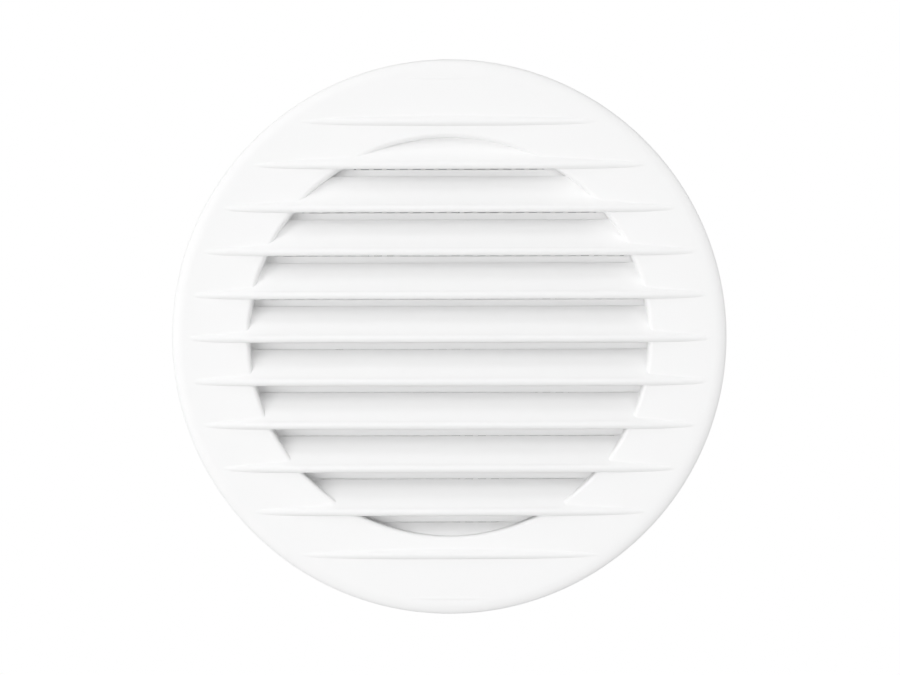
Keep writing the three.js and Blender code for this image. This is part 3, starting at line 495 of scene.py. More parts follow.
def louvre_section():
    """Corners (back, up) from the centre of the bead along the louvre's nose."""
    front = Vector((-math.cos(LOUVRE_LEAN), math.sin(LOUVRE_LEAN)))
    rise = Vector((math.sin(LOUVRE_LEAN), math.cos(LOUVRE_LEAN)))
    face = NOSE_R - NOSE_PROUD
    back = face - LOUVRE_THICK
    top = (LOUVRE_TOP + NOSE_DROP - face * front.y) / rise.y
    crease = LOUVRE_LEAN + math.acos(face / NOSE_R)
    end = LOUVRE_LEAN - math.acos(back / NOSE_R)
    corners = [tuple(back * front + top * rise) + (0.3,), tuple(face * front + top * rise) + (0.3,)]
    steps = 16
    for step in range(steps + 1):
        angle = crease + (end - crease) * step / steps
        corners.append((-NOSE_R * math.cos(angle), NOSE_R * math.sin(angle)))
    return rounded(corners)


def louvre(level, steps=72):
    """One louvre, bowed forward to follow the dome."""
    section = louvre_section()
    half_width = math.sqrt(DOME_R**2 - level**2)
    points = []
    for step in range(steps + 1):
        x = half_width * (2 * step / steps - 1)
        centre_y = FACE_Y + NOSE_R - dome_height(x, level)
        points += [(x, centre_y + back, level - NOSE_DROP + up) for back, up in section]
    return lofted(points, len(section))


def front_grille():
    rim_front = GRILLE_R - RIM_WIDTH
    steps = 16
    angles = [math.pi / 2 * step / steps for step in range(steps + 1)]
    rim = [(rim_front + RIM_WIDTH * math.cos(a), FACE_Y + RIM_DEPTH * (1 - math.sin(a))) for a in angles]
    body = lathed([
        (rim_front, 0, 0.3),
        (GRILLE_R, 0, 0.35),
        *rim,
        (THROAT_REAR_R + 0.3, FACE_Y, LIP_ROUND),
        (THROAT_REAR_R, SEAT_Y),
        (SEAT_R, SEAT_Y),
        (SEAT_R, COLLAR_END_Y, 0.3),
        (COLLAR_R, COLLAR_END_Y, 0.3),
        (COLLAR_R, FACE_Y + SKIN, 0.5),
        (rim_front, FACE_Y + SKIN, 0.5),
    ], steps=8)
    wall = (SEAT_R + COLLAR_R) / 2
    far_front = FACE_Y - DOME_HEIGHT - 5  # well in front of every louvre
    reach = [
        (0, far_front),
        (rim_front, far_front),
        (rim_front, FACE_Y + SKIN / 2),
        (wall, FACE_Y + SKIN / 2),
        (wall, SEAT_Y),
        (0, SEAT_Y),
    ]
    louvres = gathered([louvre(k * LOUVRE_PITCH) for k in range(-LOUVRE_REACH, LOUVRE_REACH + 1)])
    louvres = combined(louvres, [turned(reach)], "INTERSECT")
    return combined(body, [louvres])


def guard_screen():
    front, back = GUARD_LOW.y, GUARD_HIGH.y
    chord = (GUARD_R + GUARD_HOLES_R) / 2
    ring = lathed([(*corner, 0.25) for corner in corners_of((GUARD_HOLES_R, GUARD_R), (front, back))])
    ribs = []
    for index in range(-RIB_REACH, RIB_REACH + 1):
        x = index * RIB_PITCH
        half = math.sqrt(chord**2 - x**2)
        outline = corners_of((x - RIB_WIDTH / 2, x + RIB_WIDTH / 2), (-half, half))
        ribs.append(bevelled(pushed(outline, front + BAR_THICK - RIB_OVERLAP, back), 0.2))
    bars = []
    for index in range(-BAR_REACH, BAR_REACH + 1):
        z = index * LOUVRE_PITCH - BAR_DROP
        half = math.sqrt(chord**2 - z**2)
        span = (z - BAR_HEIGHT / 2, z + BAR_HEIGHT / 2)
        bars.append(block((-half, half), (front, front + BAR_THICK), span, 0.15))
    return combined(ring, [gathered(ribs), gathered(bars)])


# Housing

TUBE_LOW, TUBE_HIGH = box_mm("housing_tube")
FLANGE_R = TUBE_HIGH.x
FLANGE_FRONT_Y = TUBE_LOW.y
TUBE_END_Y = TUBE_HIGH.y
TUBE_R = 49.0
TUBE_BORE_R = 47.4
FLANGE_HOLE_R = 2.1
FLANGE_HOLE_CIRCLE_R = 54.7
FLANGE_HOLE_ANGLES = (45, 135, 225, 315)
LEDGE_Y = (39.2, 40.7)
LEDGE_R = 46.4
SEAL_GROOVE_Y = (80.0, 84.4)
SEAL_GROOVE_R = 48.4
INLET_Y = 69.5
INLET_R = 5.0
GROMMET_BORE_R = 3.2
GROMMET_HEAD_R = 6.2
GROMMET_GROOVE_Z = (-49.1, -46.8)


def housing_tube():
    corners = [
        (TUBE_BORE_R, FLANGE_FRONT_Y, 0.4),
        (FLANGE_R, FLANGE_FRONT_Y, 0.5),
        (FLANGE_R, 0, 0.3),
        (TUBE_R, 0, 0.001),
        (TUBE_R, SEAL_GROOVE_Y[0], 0.15),
        (SEAL_GROOVE_R, SEAL_GROOVE_Y[0], 0.15),
        (SEAL_GROOVE_R, SEAL_GROOVE_Y[1], 0.15),
        (TUBE_R, SEAL_GROOVE_Y[1], 0.15),
        (TUBE_R, TUBE_END_Y, 0.6),
        (TUBE_BORE_R, TUBE_END_Y, 0.4),
        (TUBE_BORE_R, LEDGE_Y[1]),
        (LEDGE_R, LEDGE_Y[1], 0.3),
        (LEDGE_R, LEDGE_Y[0], 0.3),
        (TUBE_BORE_R, LEDGE_Y[0]),
    ]
    inlet = rod("z", INLET_R, -TUBE_R - 2, -TUBE_BORE_R + 3, (0, INLET_Y, 0))
    tools = [inlet]
    place = (FLANGE_HOLE_CIRCLE_R, 0, 0)
    sink_front, sink_tip = -3, -1
    for degrees in FLANGE_HOLE_ANGLES:
        hole = rod("y", FLANGE_HOLE_R, FLANGE_FRONT_Y - 1, 1, place)
        wide, narrow = (FLANGE_HOLE_R + 1.8, sink_front), (FLANGE_HOLE_R + 0.9, FLANGE_FRONT_Y)
        sink = turned([(0, sink_front), wide, narrow, (0, sink_tip)], PIN_SIDES)
        tools += [about_axis(hole, degrees), about_axis(moved(sink, place), degrees)]
    return cut(turned(rounded(corners)), tools)


def duct_seal_ring():
    low, high = box_mm("duct_seal_ring")
    base = SEAL_GROOVE_R + PLAY
    shoulder = TUBE_R + PLAY
    return lathed([
        (base, low.y, 0.1),
        (shoulder, low.y, 0.15),
        (high.x + 0.05, low.y + 1.5, 0.3),
        (shoulder, low.y + 2.4, 0.3),
        (shoulder, high.y, 0.15),
        (base, high.y, 0.1),
    ])


def cable_grommet():
    """A grommet turned about Z, with a groove that holds the tube's wall."""
    low, high = box_mm("cable_grommet")
    groove = INLET_R - PLAY
    outer, inner = GROMMET_GROOVE_Z
    made = lathed([
        (GROMMET_BORE_R, low.z, 0.4),
        (GROMMET_HEAD_R, low.z, 0.5),
        (GROMMET_HEAD_R, outer, 0.15),
        (groove, outer),
        (groove, inner),
        (GROMMET_HEAD_R - 0.2, inner, 0.15),
        (GROMMET_HEAD_R - 0.6, high.z, 0.4),
        (GROMMET_BORE_R, high.z, 0.4),
    ], sides=96)
    made.data.transform(Matrix.Rotation(math.pi / 2, 4, "X"))
    return moved(made, (0, INLET_Y, 0))


# Motor cradle and cap

CRADLE_R = 47.1
CRADLE_RING_WALL = 1.6
CRADLE_Y = (41.0, 62.0)
CUP_LOW_Y = box_mm("motor_cradle")[0].y
CUP_END_Y = 66.0
CUP_R = 27.2
CUP_BORE_R = 25.4
CUP_WALL = 2.0
BOSS_R = 7.2
BEARING_SEAT_R = 5.3
SHAFT_HOLE_R = 3.3
STRUT_ANGLES = (30, 150, 270)
STRUT_THICK = 2.2
STRUT_Y = (44.0, 58.0)
EAR_ANGLES = (90, 210, 330)
EAR_CIRCLE_R = 29.6
EAR_R = 3.4
EAR_START_Y = 56.0
CAP_THICK = 2.2
CAP_Y = (CUP_END_Y + PLAY, CUP_END_Y + PLAY + CAP_THICK)
CAP_HOLE_R = 1.75
CAP_GROOVES_R = (9, 23.4)
CAP_GROOVE_WIDTH = 1
CAP_GROOVE_DEPTH = 0.35
LEAD_HOLE_R = 3.2
LEAD_HOLE_Z = -19.6
POST_HOLE_R = 1.2
FRONT_BEARING_Y = tuple(corner.y for corner in box_mm("front_bearing"))
REAR_BEARING_Y = tuple(corner.y for corner in box_mm("rear_bearing"))

# Terminal compartment

BOX_HALF_X = 13.0
BOX_Y = (62.6, 76.6)
BOX_Z = (-45.2, -29.5)
BOX_WALL = 1.2
BOX_INLET_R = 4.4
FOOT_HALF_X = 8
NOTCH_HALF_X = 4.5  # the leads come in through this notch
NOTCH_START_Y = 70
CLAMP_POSTS = ((-6.6, -41.0), (6.6, -41.0))
CLAMP_POST_R = 2.2
CLAMP_POST_END_Y = 72.4
COVER_POST = (10.3, -36.5)
COVER_POST_R = 2
POST_HOLE_Y = (66, 74)


def ear(degrees, span):
    lug = rod("y", EAR_R, *span, (EAR_CIRCLE_R, 0, 0), PIN_SIDES, 0.3)
    web = block((CUP_R - 1, EAR_CIRCLE_R), span, (-EAR_R, EAR_R), 0)
    return about_axis(combined(lug, [web]), degrees)


def ear_hole(degrees, radius):
    return about_axis(peg((EAR_CIRCLE_R, 0), radius, EAR_START_Y - 1, CUP_END_Y + 5), degrees)


def motor_cup():
    return lathed([
        (SHAFT_HOLE_R, CUP_LOW_Y, 0.2),
        (CUP_R, CUP_LOW_Y, 1.8),
        (CUP_R, CUP_END_Y, 0.3),
        (CUP_BORE_R, CUP_END_Y, 0.3),
        (CUP_BORE_R, CUP_LOW_Y + CUP_WALL, 0.8),
        (BOSS_R, CUP_LOW_Y + CUP_WALL, 0.6),
        (BOSS_R, FRONT_BEARING_Y[1], 0.3),
        (BEARING_SEAT_R, FRONT_BEARING_Y[1], 0.3),
        (BEARING_SEAT_R, FRONT_BEARING_Y[0] - PLAY),
        (SHAFT_HOLE_R, FRONT_BEARING_Y[0] - PLAY),
    ], HUB_SIDES)


def terminal_compartment():
    shell = block((-BOX_HALF_X, BOX_HALF_X), BOX_Y, BOX_Z, 0.5)
    inside = block(
        (-BOX_HALF_X + BOX_WALL, BOX_HALF_X - BOX_WALL),
        (BOX_Y[0] + BOX_WALL, BOX_Y[1] + 1),
        (BOX_Z[0] + BOX_WALL, BOX_Z[1] - BOX_WALL),
        0.3,
    )
    foot_y = (CRADLE_Y[1] - 2.5, BOX_Y[0] + 1)
    foot = block((-FOOT_HALF_X, FOOT_HALF_X), foot_y, (BOX_Z[0] - 1.2, BOX_Z[0] + 3), 0.3)
    root = BOX_Y[0] + 0.5
    posts = [peg(place, CLAMP_POST_R, root, CLAMP_POST_END_Y, 0.2) for place in CLAMP_POSTS]
    posts.append(peg(COVER_POST, COVER_POST_R, root, BOX_Y[1], 0.2))
    notch_y = (NOTCH_START_Y, BOX_Y[1] + 1)
    tools = [
        rod("z", BOX_INLET_R, BOX_Z[0] - 2, BOX_Z[0] + 2, (0, INLET_Y, 0)),
        block((-NOTCH_HALF_X, NOTCH_HALF_X), notch_y, (BOX_Z[1] - 2, BOX_Z[1] + 1), 0.4),
        peg(COVER_POST, POST_HOLE_R, POST_HOLE_Y[0], BOX_Y[1] + 1),
    ]
    tools += [peg(place, POST_HOLE_R, *POST_HOLE_Y) for place in CLAMP_POSTS]
    return cut(combined(cut(shell, [inside]), [foot, *posts]), tools)


def motor_cradle():
    inner = CRADLE_R - CRADLE_RING_WALL
    ring = lathed([
        (inner, CRADLE_Y[0], 0.5),
        (CRADLE_R, CRADLE_Y[0], 0.3),
        (CRADLE_R, CRADLE_Y[1], 0.3),
        (inner, CRADLE_Y[1], 0.5),
    ])
    parts = [ring]
    for degrees in STRUT_ANGLES:
        plate = block((CUP_BORE_R + 0.5, CRADLE_R - 0.6), STRUT_Y, (-STRUT_THICK / 2, STRUT_THICK / 2), 0.7)
        parts.append(about_axis(plate, degrees))
    parts += [ear(degrees, (EAR_START_Y, CUP_END_Y)) for degrees in EAR_ANGLES]
    parts.append(terminal_compartment())
    cradle = combined(motor_cup(), parts)
    return cut(cradle, [ear_hole(degrees, POST_HOLE_R) for degrees in EAR_ANGLES])


def motor_cap():
    start, end = CAP_Y
    disc = lathed([
        (0, REAR_BEARING_Y[1] + PLAY),
        (BEARING_SEAT_R, REAR_BEARING_Y[1] + PLAY),
        (BEARING_SEAT_R, REAR_BEARING_Y[0] - 0.2, 0.2),
        (BOSS_R, REAR_BEARING_Y[0] - 0.2, 0.3),
        (BOSS_R, start, 0.4),
        (CUP_R, start, 0.2),
        (CUP_R, end, 0.8),
        (0, end),
    ], HUB_SIDES)
    grooves = []
    for inner in CAP_GROOVES_R:
        outer = inner + CAP_GROOVE_WIDTH
        deep = end - CAP_GROOVE_DEPTH
        groove = [(inner, deep, 0.15), (outer, deep, 0.15), (outer + 0.2, end + 1), (inner - 0.2, end + 1)]
        grooves.append(lathed(groove, HUB_SIDES, 3))
    lead_hole = rod("y", LEAD_HOLE_R, start - 1, end + 1, (0, 0, LEAD_HOLE_Z))
    tools = [lead_hole, *grooves, *[ear_hole(degrees, CAP_HOLE_R) for degrees in EAR_ANGLES]]
    return cut(combined(disc, [ear(degrees, CAP_Y) for degrees in EAR_ANGLES]), tools)


# Screws, each with its head's (radius, height) and its shank's (radius, length)

CAP_SCREW = ((2.7, 1.8), (1.1, 10))
COVER_SCREW = ((1.9, 0.6), (0.9, 7))
CLAMP_SCREW = ((2, 1.3), (0.9, 6.5))
CLAMP_SCREW_Y = 74.5


def pan_head_screw(place, head_y, head, shank):
    """A slotted screw whose shank points along -Y from under its head, with a ribbed thread."""
    head_r, head_height = head
    shank_r, length = shank
    core_r = shank_r * 0.86
    half_slot = 0.3
    thread = []
    pitch = shank_r * 0.55
    reach = 0.4
    while reach < length - shank_r - pitch:
        thread += [(core_r, reach), (shank_r, reach + pitch / 2)]
        reach += pitch
    corners = [
        (0, -head_height),
        (head_r * 0.45, -head_height * 0.97),
        (head_r * 0.8, -head_height * 0.74),
        (head_r * 0.96, -head_height * 0.4),
        (head_r, -head_height * 0.12),
        (head_r * 0.97, 0),
        (core_r, 0),
        *thread,
        (core_r, length - shank_r),
        (0, length),
    ]
    slot_y = (-head_height * 2, -head_height * 0.5)
    slot = block((-head_r * 2, head_r * 2), slot_y, (-half_slot, half_slot), 0)
    made = cut(turned(corners, SCREW_SIDES), [slot])
    made.data.transform(Matrix.Rotation(math.pi, 4, "X"))
    return moved(made, (place[0], head_y, place[1]))


def cap_screw(degrees):
    angle = math.radians(degrees)
    place = (EAR_CIRCLE_R * math.cos(angle), EAR_CIRCLE_R * math.sin(angle))
    return pan_head_screw(place, CAP_Y[1] + 0.1, *CAP_SCREW)


# Impeller

BLADES = 7
HUB_R = 23.0
HUB_Y = (13.0, 34.0)
HUB_WALL = 1.7
HUB_FACE_R = 8.0
HUB_SHOULDER_R = 20.5
HUB_BOSS_R = 6.8
HUB_BOSS_END_Y = 29.4
LOOSE_BORE_R = 2.8
BLADE_TIP_R = 45.6
BLADE_ROOT_R = 22.2
BLADE_MID_Y = 24.6
BLADE_CHORD = 22.0
BLADE_CAMBER = 1.8
BLADE_THICK = 1.5
TRAILING_THIN = 0.25  # a blade is thinner by this share at its trailing edge
TIP_STRETCH = 0.25  # and its chord is longer by this share at its tip
ROOT_PITCH = 48.0
TIP_PITCH = 30.0
DRIVE_PIN_Y = 27.6
DRIVE_PIN_R = 0.8
DRIVE_PIN_HALF = 6.2
NUT_R = 6.15
NUT_FACE_R = 4
NUT_BORE_END_Y = 9.2
GRIPS = 6
GRIP_START_R = 4.5  # the finger scallops deepen from here to the nut's edge
GRIP_DEPTH = 0.05  # as a share of the radius


def blade_section(steps=14):
    """Corners (chord, camber) of a curved blade with a round leading edge and a thin trailing one."""
    upper, lower = [], []
    for step in range(steps + 1):
        share = -math.cos(math.pi * step / steps)
        middle = BLADE_CAMBER * (1 - share * share)
        thick = BLADE_THICK / 2 * math.sqrt(max(0.0, 1 - share**4)) * (1 - TRAILING_THIN * share)
        upper.append((share * BLADE_CHORD / 2, middle + thick))
        lower.append((share * BLADE_CHORD / 2, middle - thick))
    return upper + lower[-2:0:-1]


def impeller_blade(turn, steps=20):
    section = blade_section()
    points = []
    for step in range(steps + 1):
        part = step / steps
        radius = BLADE_ROOT_R + (BLADE_TIP_R - BLADE_ROOT_R) * part
        pitch = math.radians(ROOT_PITCH + (TIP_PITCH - ROOT_PITCH) * part)
        for chord, camber in section:
            long_chord = chord * (1 + TIP_STRETCH * part)
            across = long_chord * math.cos(pitch) - camber * math.sin(pitch)
            along = long_chord * math.sin(pitch) + camber * math.cos(pitch)
            angle = turn + across / radius
            points.append((radius * math.cos(angle), BLADE_MID_Y + along, radius * math.sin(angle)))
    return lofted(points, len(section))


def impeller():
    front, back = HUB_Y
    hub = lathed([
        (LOOSE_BORE_R, front, 0.2),
        (HUB_FACE_R, front, 3),
        (HUB_SHOULDER_R, front + 1.8, 4),
        (HUB_R, front + 6, 2.5),
        (HUB_R, back, 0.3),
        (HUB_R - HUB_WALL, back, 0.3),
        (HUB_R - HUB_WALL, front + 5.6, 1.5),
        (HUB_SHOULDER_R - 1.9, front + 3.4, 1),
        (HUB_BOSS_R, front + 2.4, 0.6),
        (HUB_BOSS_R, HUB_BOSS_END_Y, 0.3),
        (LOOSE_BORE_R, HUB_BOSS_END_Y, 0.3),
    ], HUB_SIDES)
    blades = [impeller_blade(math.tau * index / BLADES) for index in range(BLADES)]
    pin_slot = block(
        (-HUB_BOSS_R - 1, HUB_BOSS_R + 1),
        (DRIVE_PIN_Y - DRIVE_PIN_R - PLAY, HUB_BOSS_END_Y + 1),
        (-DRIVE_PIN_R - PLAY, DRIVE_PIN_R + PLAY),
        0,
    )
    return cut(combined(hub, [gathered(blades)]), [pin_slot])


def impeller_nut():
    """A domed push-on nut with finger scallops."""
    low, high = box_mm("impeller_nut")
    corners = [
        (0, low.y),
        (NUT_FACE_R, low.y, 1.5),
        (NUT_R, high.y - 2.6, 1.4),
        (NUT_R, high.y, 0.3),
        (LOOSE_BORE_R, high.y, 0.2),
        (LOOSE_BORE_R, NUT_BORE_END_Y),
        (0, NUT_BORE_END_Y),
    ]
    made = lathed(corners, 24 * GRIPS, 8)
    for vertex in made.data.vertices:
        reach = math.hypot(vertex.co.x, vertex.co.z)
        if reach > GRIP_START_R:
            crest = math.cos(GRIPS * math.atan2(vertex.co.z, vertex.co.x)) ** 8
            dip = 1 - GRIP_DEPTH * (reach - GRIP_START_R) / (NUT_R - GRIP_START_R) * crest
            vertex.co.x *= dip
            vertex.co.z *= dip
    return made


# Shutter

FRAME_Y = (79.0, 91.8)
FRAME_FLOOR = 1.4
FRAME_OPENING_R = 43.5
FRAME_BORE_R = 45.6
CROSS_BAR_HALF = (2.5, 44.5)
BOSS_HALF_X = 3.6
BOSS_END_Y = 86.8
BOSS_Z = (42.6, 46.2)  # of the upper boss that holds the spindle
SPINDLE_Y = 83.2
SPINDLE_R = 1.5
SPINDLE_HALF = 45.6
FLAP_R = 45.2
FLAP_Y = (80.7, 81.9)
FLAP_EDGE_X = 3.1
FLAP_TRIM = (8.0, 42.2)  # its ends stop short here, clear of the spindle's bosses
KNUCKLE_R = 2.5
KNUCKLE_LENGTH = 10.0
LEFT_KNUCKLE_Z, RIGHT_KNUCKLE_Z = 15, 27
HINGE_BORE_R = 1.75
FLAP_RIB_THICK = 1.4
FLAP_RIB_HEIGHT = 1.5
SPRING_COIL_R = 2.1
SPRING_WIRE_R = 0.28
SPRING_TURNS = 3
SPRING_RISE = 1.1  # along the spindle in each turn
SPRING_LEG_X = (3.6, 9, 15)  # points that the leg passes, out along its flap
LEFT_SPRING_Z, RIGHT_SPRING_Z = 1.5, -6  # where the coils start


def shutter_frame():
    floor_end = FRAME_Y[0] + FRAME_FLOOR
    shoulder = TUBE_END_Y + PLAY
    ring = lathed([
        (FRAME_OPENING_R, FRAME_Y[0], 0.4),
        (CRADLE_R, FRAME_Y[0], 0.4),
        (CRADLE_R, shoulder),
        (TUBE_R, shoulder, 0.2),
        (TUBE_R, FRAME_Y[1], 0.5),
        (FRAME_BORE_R, FRAME_Y[1], 0.4),
        (FRAME_BORE_R, floor_end),
        (FRAME_OPENING_R, floor_end, 0.3),
    ])
    half_x, half_z = CROSS_BAR_HALF
    cross_bar = block((-half_x, half_x), (FRAME_Y[0], floor_end), (-half_z, half_z), 0.25)
    boss_y = (FRAME_Y[0] + 0.5, BOSS_END_Y)
    spans = ((-BOSS_Z[1], -BOSS_Z[0]), BOSS_Z)
    bosses = [block((-BOSS_HALF_X, BOSS_HALF_X), boss_y, span, 0.5) for span in spans]
    bore = rod("z", SPINDLE_R + 0.2, -SPINDLE_HALF - PLAY, SPINDLE_HALF + PLAY, (0, SPINDLE_Y, 0))
    return cut(combined(ring, [cross_bar, *bosses]), [bore])


def shutter_flap(side, knuckle_z):
    """A half-round flap with a rounded rim, two knuckles on the spindle and two ribs on its back."""
    steps = 96
    start = math.acos(FLAP_TRIM[0] / FLAP_R)
    angles = [start * (1 - 2 * step / steps) for step in range(steps + 1)]
    outline = [(FLAP_R * math.cos(angle), FLAP_R * math.sin(angle)) for angle in angles]
    trim_x, trim_z = FLAP_TRIM
    outline += [(trim_x, -trim_z), (FLAP_EDGE_X, -trim_z), (FLAP_EDGE_X, trim_z), (trim_x, trim_z)]
    plate = pushed(outline, *FLAP_Y, 0.3)
    rib_end = math.sqrt((FLAP_R - 2) ** 2 - (knuckle_z + FLAP_RIB_THICK) ** 2)
    parts = []
    for middle in (-knuckle_z, knuckle_z):
        span = (middle - KNUCKLE_LENGTH / 2, middle + KNUCKLE_LENGTH / 2)
        parts.append(rod("z", KNUCKLE_R, *span, (0, SPINDLE_Y, 0), PIN_SIDES, 0.25))
        parts.append(block((0, FLAP_EDGE_X + 1), FLAP_Y, span, 0.1))
        rib = (middle - FLAP_RIB_THICK / 2, middle + FLAP_RIB_THICK / 2)
        parts.append(block((2, rib_end), (FLAP_Y[1] - 0.4, FLAP_Y[1] + FLAP_RIB_HEIGHT), rib, 0.3))
    bore = rod("z", HINGE_BORE_R, -FLAP_R, FLAP_R, (0, SPINDLE_Y, 0))
    made = cut(combined(plate, parts), [bore])
    if side < 0:
        made.data.transform(Matrix.Scale(-1, 4, (1, 0, 0)))
        made.data.flip_normals()
    return made


def flap_spring(side, start_z):
    """A torsion spring coiled round the spindle, with one leg lying on its flap."""
    path = []
    per_turn = 24
    for step in range(SPRING_TURNS * per_turn + 1):
        angle = math.tau * step / per_turn
        x, y = side * SPRING_COIL_R * math.cos(angle), SPINDLE_Y + SPRING_COIL_R * math.sin(angle)
        path.append((x, y, start_z + SPRING_RISE * step / per_turn))
    end_z = path[-1][2] + 0.6
    leg_y = FLAP_Y[1] + SPRING_WIRE_R + PLAY
    leg = smooth_path([path[-4], path[-1], *[(side * x, leg_y, end_z) for x in SPRING_LEG_X]])
    return swept(path[:-4] + leg, SPRING_WIRE_R, 10)


# Wiring

TERMINAL_PLACES = ((-5.4, -35.6), (5.4, -35.6), (-5.4, -32.6), (5.4, -32.6))
TERMINAL_REAR_Y = box_mm("terminal_block")[1].y
TERMINAL_HOLE_R = 1.35
TERMINAL_HOLE_DEPTH = 2.2
TERMINAL_SCREW_R = 1.05
BLOCK_GROOVE_HALF = 0.8
BLOCK_GROOVE_Y = 69.5
COVER_HOLE_R = 1.5
CLAMP_HOLE_R = 1.3
LEAD_R = 1


def terminal_block():
    low, high = box_mm("terminal_block")
    body = block(*zip(low, high), 0.5)
    groove_x = (-BLOCK_GROOVE_HALF, BLOCK_GROOVE_HALF)
    groove = block(groove_x, (BLOCK_GROOVE_Y, high.y + 1), (low.z - 1, high.z + 1), 0)
    depth = high.y - TERMINAL_HOLE_DEPTH
    holes = [peg(place, TERMINAL_HOLE_R, depth, high.y + 1) for place in TERMINAL_PLACES]
    return cut(body, [groove, *holes])


def terminal_screw(x, z):
    """A slotted grub screw, sunk in its hole in the block."""
    start, end = TERMINAL_REAR_Y - 1.9, TERMINAL_REAR_Y - 0.2
    body = peg((x, z), TERMINAL_SCREW_R, start, end, 0.12)
    slot_y = (TERMINAL_REAR_Y - 0.7, TERMINAL_REAR_Y)
    return cut(body, [block((x - 2, x + 2), slot_y, (z - 0.2, z + 0.2), 0)])


def terminal_cover():
    low, high = box_mm("terminal_cover")
    plate = block(*zip(low, high), 0.4)
    through = (low.y - 1, high.y + 1)
    notch = block((-NOTCH_HALF_X, NOTCH_HALF_X), through, (high.z - 1.2, high.z + 1), 0.3)
    return cut(plate, [notch, peg(COVER_POST, COVER_HOLE_R, *through)])


def cable_clamp():
    low, high = box_mm("cable_clamp")
    plate = block(*zip(low, high), 0.4)
    return cut(plate, [peg(place, CLAMP_HOLE_R, low.y - 1, high.y + 1) for place in CLAMP_POSTS])


def motor_lead(side):
    """A lead from the windings, out through the cap's hole and up into the terminal block."""
    knots = [
        (side * 1.4, 63.6, -19.4),
        (side * 1.4, 66.5, -19.6),
        (side * 1.4, 70, -19.8),
        (side * 1.5, 73.2, -21.6),
        (side * 1.8, 74.2, -25),
        (side * 2.4, 73.3, -28.4),
        (side * 2.8, 72, -30.6),
    ]
    return swept(smooth_path(knots), LEAD_R, 24)


# Motor

STATOR_R = 25.0
YOKE_BORE_R = 21.3
SHOE_R = 14.8
STATOR_BORE_R = 12.2
SHOE_HALF_ANGLE = 36.0
STEM_WIDTH = 8.0
POLES = 4
STACK_Y = tuple(corner.y for corner in box_mm("stator_core"))
COIL_R = (15.1, 19.2)
COIL_HALF_WIDTH = 8.0
COIL_OVERHANG = 3.8
COIL_TURNS = 7
WIRE_SWELL = 1.02  # a turn's wire is this much thicker, so that neighbours join
SHADE_CENTRE = 29.85
SHADE_RADIAL = 12.9
SHADE_HALF_WIDTH = 2.24
SHADE_BAR = 1.1
SHADE_OVERHANG = 0.6
ROTOR_R = 11.6
SHAFT_R = 2.5
BEARING_R = 5
BEARING_BORE_R = 2.6


def stator_core():
    yoke = turned(corners_of((YOKE_BORE_R, STATOR_R), STACK_Y), HUB_SIDES)
    edge = -SHADE_HALF_WIDTH + SHADE_BAR / 2 + PLAY
    poles = []
    for index in range(POLES):
        shoe_outline = []
        steps = 24
        for step in range(steps + 1):
            angle = math.radians(SHOE_HALF_ANGLE * (2 * step / steps - 1))
            shoe_outline.append((SHOE_R * math.cos(angle), SHOE_R * math.sin(angle)))
        for step in range(steps + 1):
            angle = math.radians(SHOE_HALF_ANGLE * (1 - 2 * step / steps))
            shoe_outline.append((STATOR_BORE_R * math.cos(angle), STATOR_BORE_R * math.sin(angle)))
        shoe = pushed(shoe_outline, *STACK_Y)
        stem = block((STATOR_BORE_R + 1, STATOR_R - 1.5), STACK_Y, (-STEM_WIDTH / 2, STEM_WIDTH / 2), 0)
        slot = block(
            (STATOR_BORE_R - 2, SHADE_RADIAL + SHADE_BAR / 2 + PLAY),
            (STACK_Y[0] - 1, STACK_Y[1] + 1),
            (edge - SHADE_BAR - 2 * PLAY, edge),
            0,
        )
        pole = cut(combined(shoe, [stem]), [about_axis(slot, SHADE_CENTRE)])
        poles.append(about_axis(pole, 90 * index))
    return combined(yoke, poles)


def rounded_rectangle(half_width, half_height, corner):
    signs = ((-1, -1), (1, -1), (1, 1), (-1, 1))
    return rounded([(x * half_width, y * half_height, corner) for x, y in signs], 8)


def pole_coil(index):
    """A winding round a pole's stem: thick turns side by side on a hollow core."""
    half_stack = (STACK_Y[1] - STACK_Y[0]) / 2
    middle = (STACK_Y[0] + STACK_Y[1]) / 2
    inner = (STEM_WIDTH / 2 + PLAY, half_stack + PLAY)
    outer = (COIL_HALF_WIDTH, half_stack + COIL_OVERHANG)
    wire = (COIL_R[1] - COIL_R[0]) / (2 * COIL_TURNS)
    turn = rounded_rectangle(outer[0] - wire, outer[1] - wire, 2.4)
    turns = []
    for step in range(COIL_TURNS):
        depth = COIL_R[0] + wire * (2 * step + 1)
        turns.append(wire_loop([(depth, middle + y, z) for z, y in turn], wire * WIRE_SWELL))
    filling = rounded_rectangle(outer[0] - wire, outer[1] - wire, 2.2)
    core = pushed(filling, COIL_R[0] + wire, COIL_R[1] - wire)
    hole = pushed(rounded_rectangle(inner[0] + wire, inner[1] + wire, 0.6), COIL_R[0] - 1, COIL_R[1] + 1)
    made = cut(core, [hole])
    made.data.transform(Matrix(((0, 1, 0, 0), (0, 0, 1, middle), (1, 0, 0, 0), (0, 0, 0, 1))))
    return about_axis(combined(made, turns), 90 * index)


def wire_loop(path, radius, sides=10):
    """A closed ring of wire along points that lie in one plane across X."""
    points = []
    path = [Vector(point) for point in path]
    count = len(path)
    for index, here in enumerate(path):
        ahead = (path[(index + 1) % count] - path[index - 1]).normalized()
        side_way = Vector((1, 0, 0))
        up_way = ahead.cross(side_way).normalized()
        for side in range(sides):
            angle = math.tau * side / sides
            points.append(here + radius * (math.cos(angle) * side_way + math.sin(angle) * up_way))
    faces = []
    for index in range(count):
        low, high = index * sides, (index + 1) % count * sides
        for side in range(sides):
            after = (side + 1) % sides
            faces.append([low + side, low + after, high + after, high + side])
    return mesh_object(points, faces)


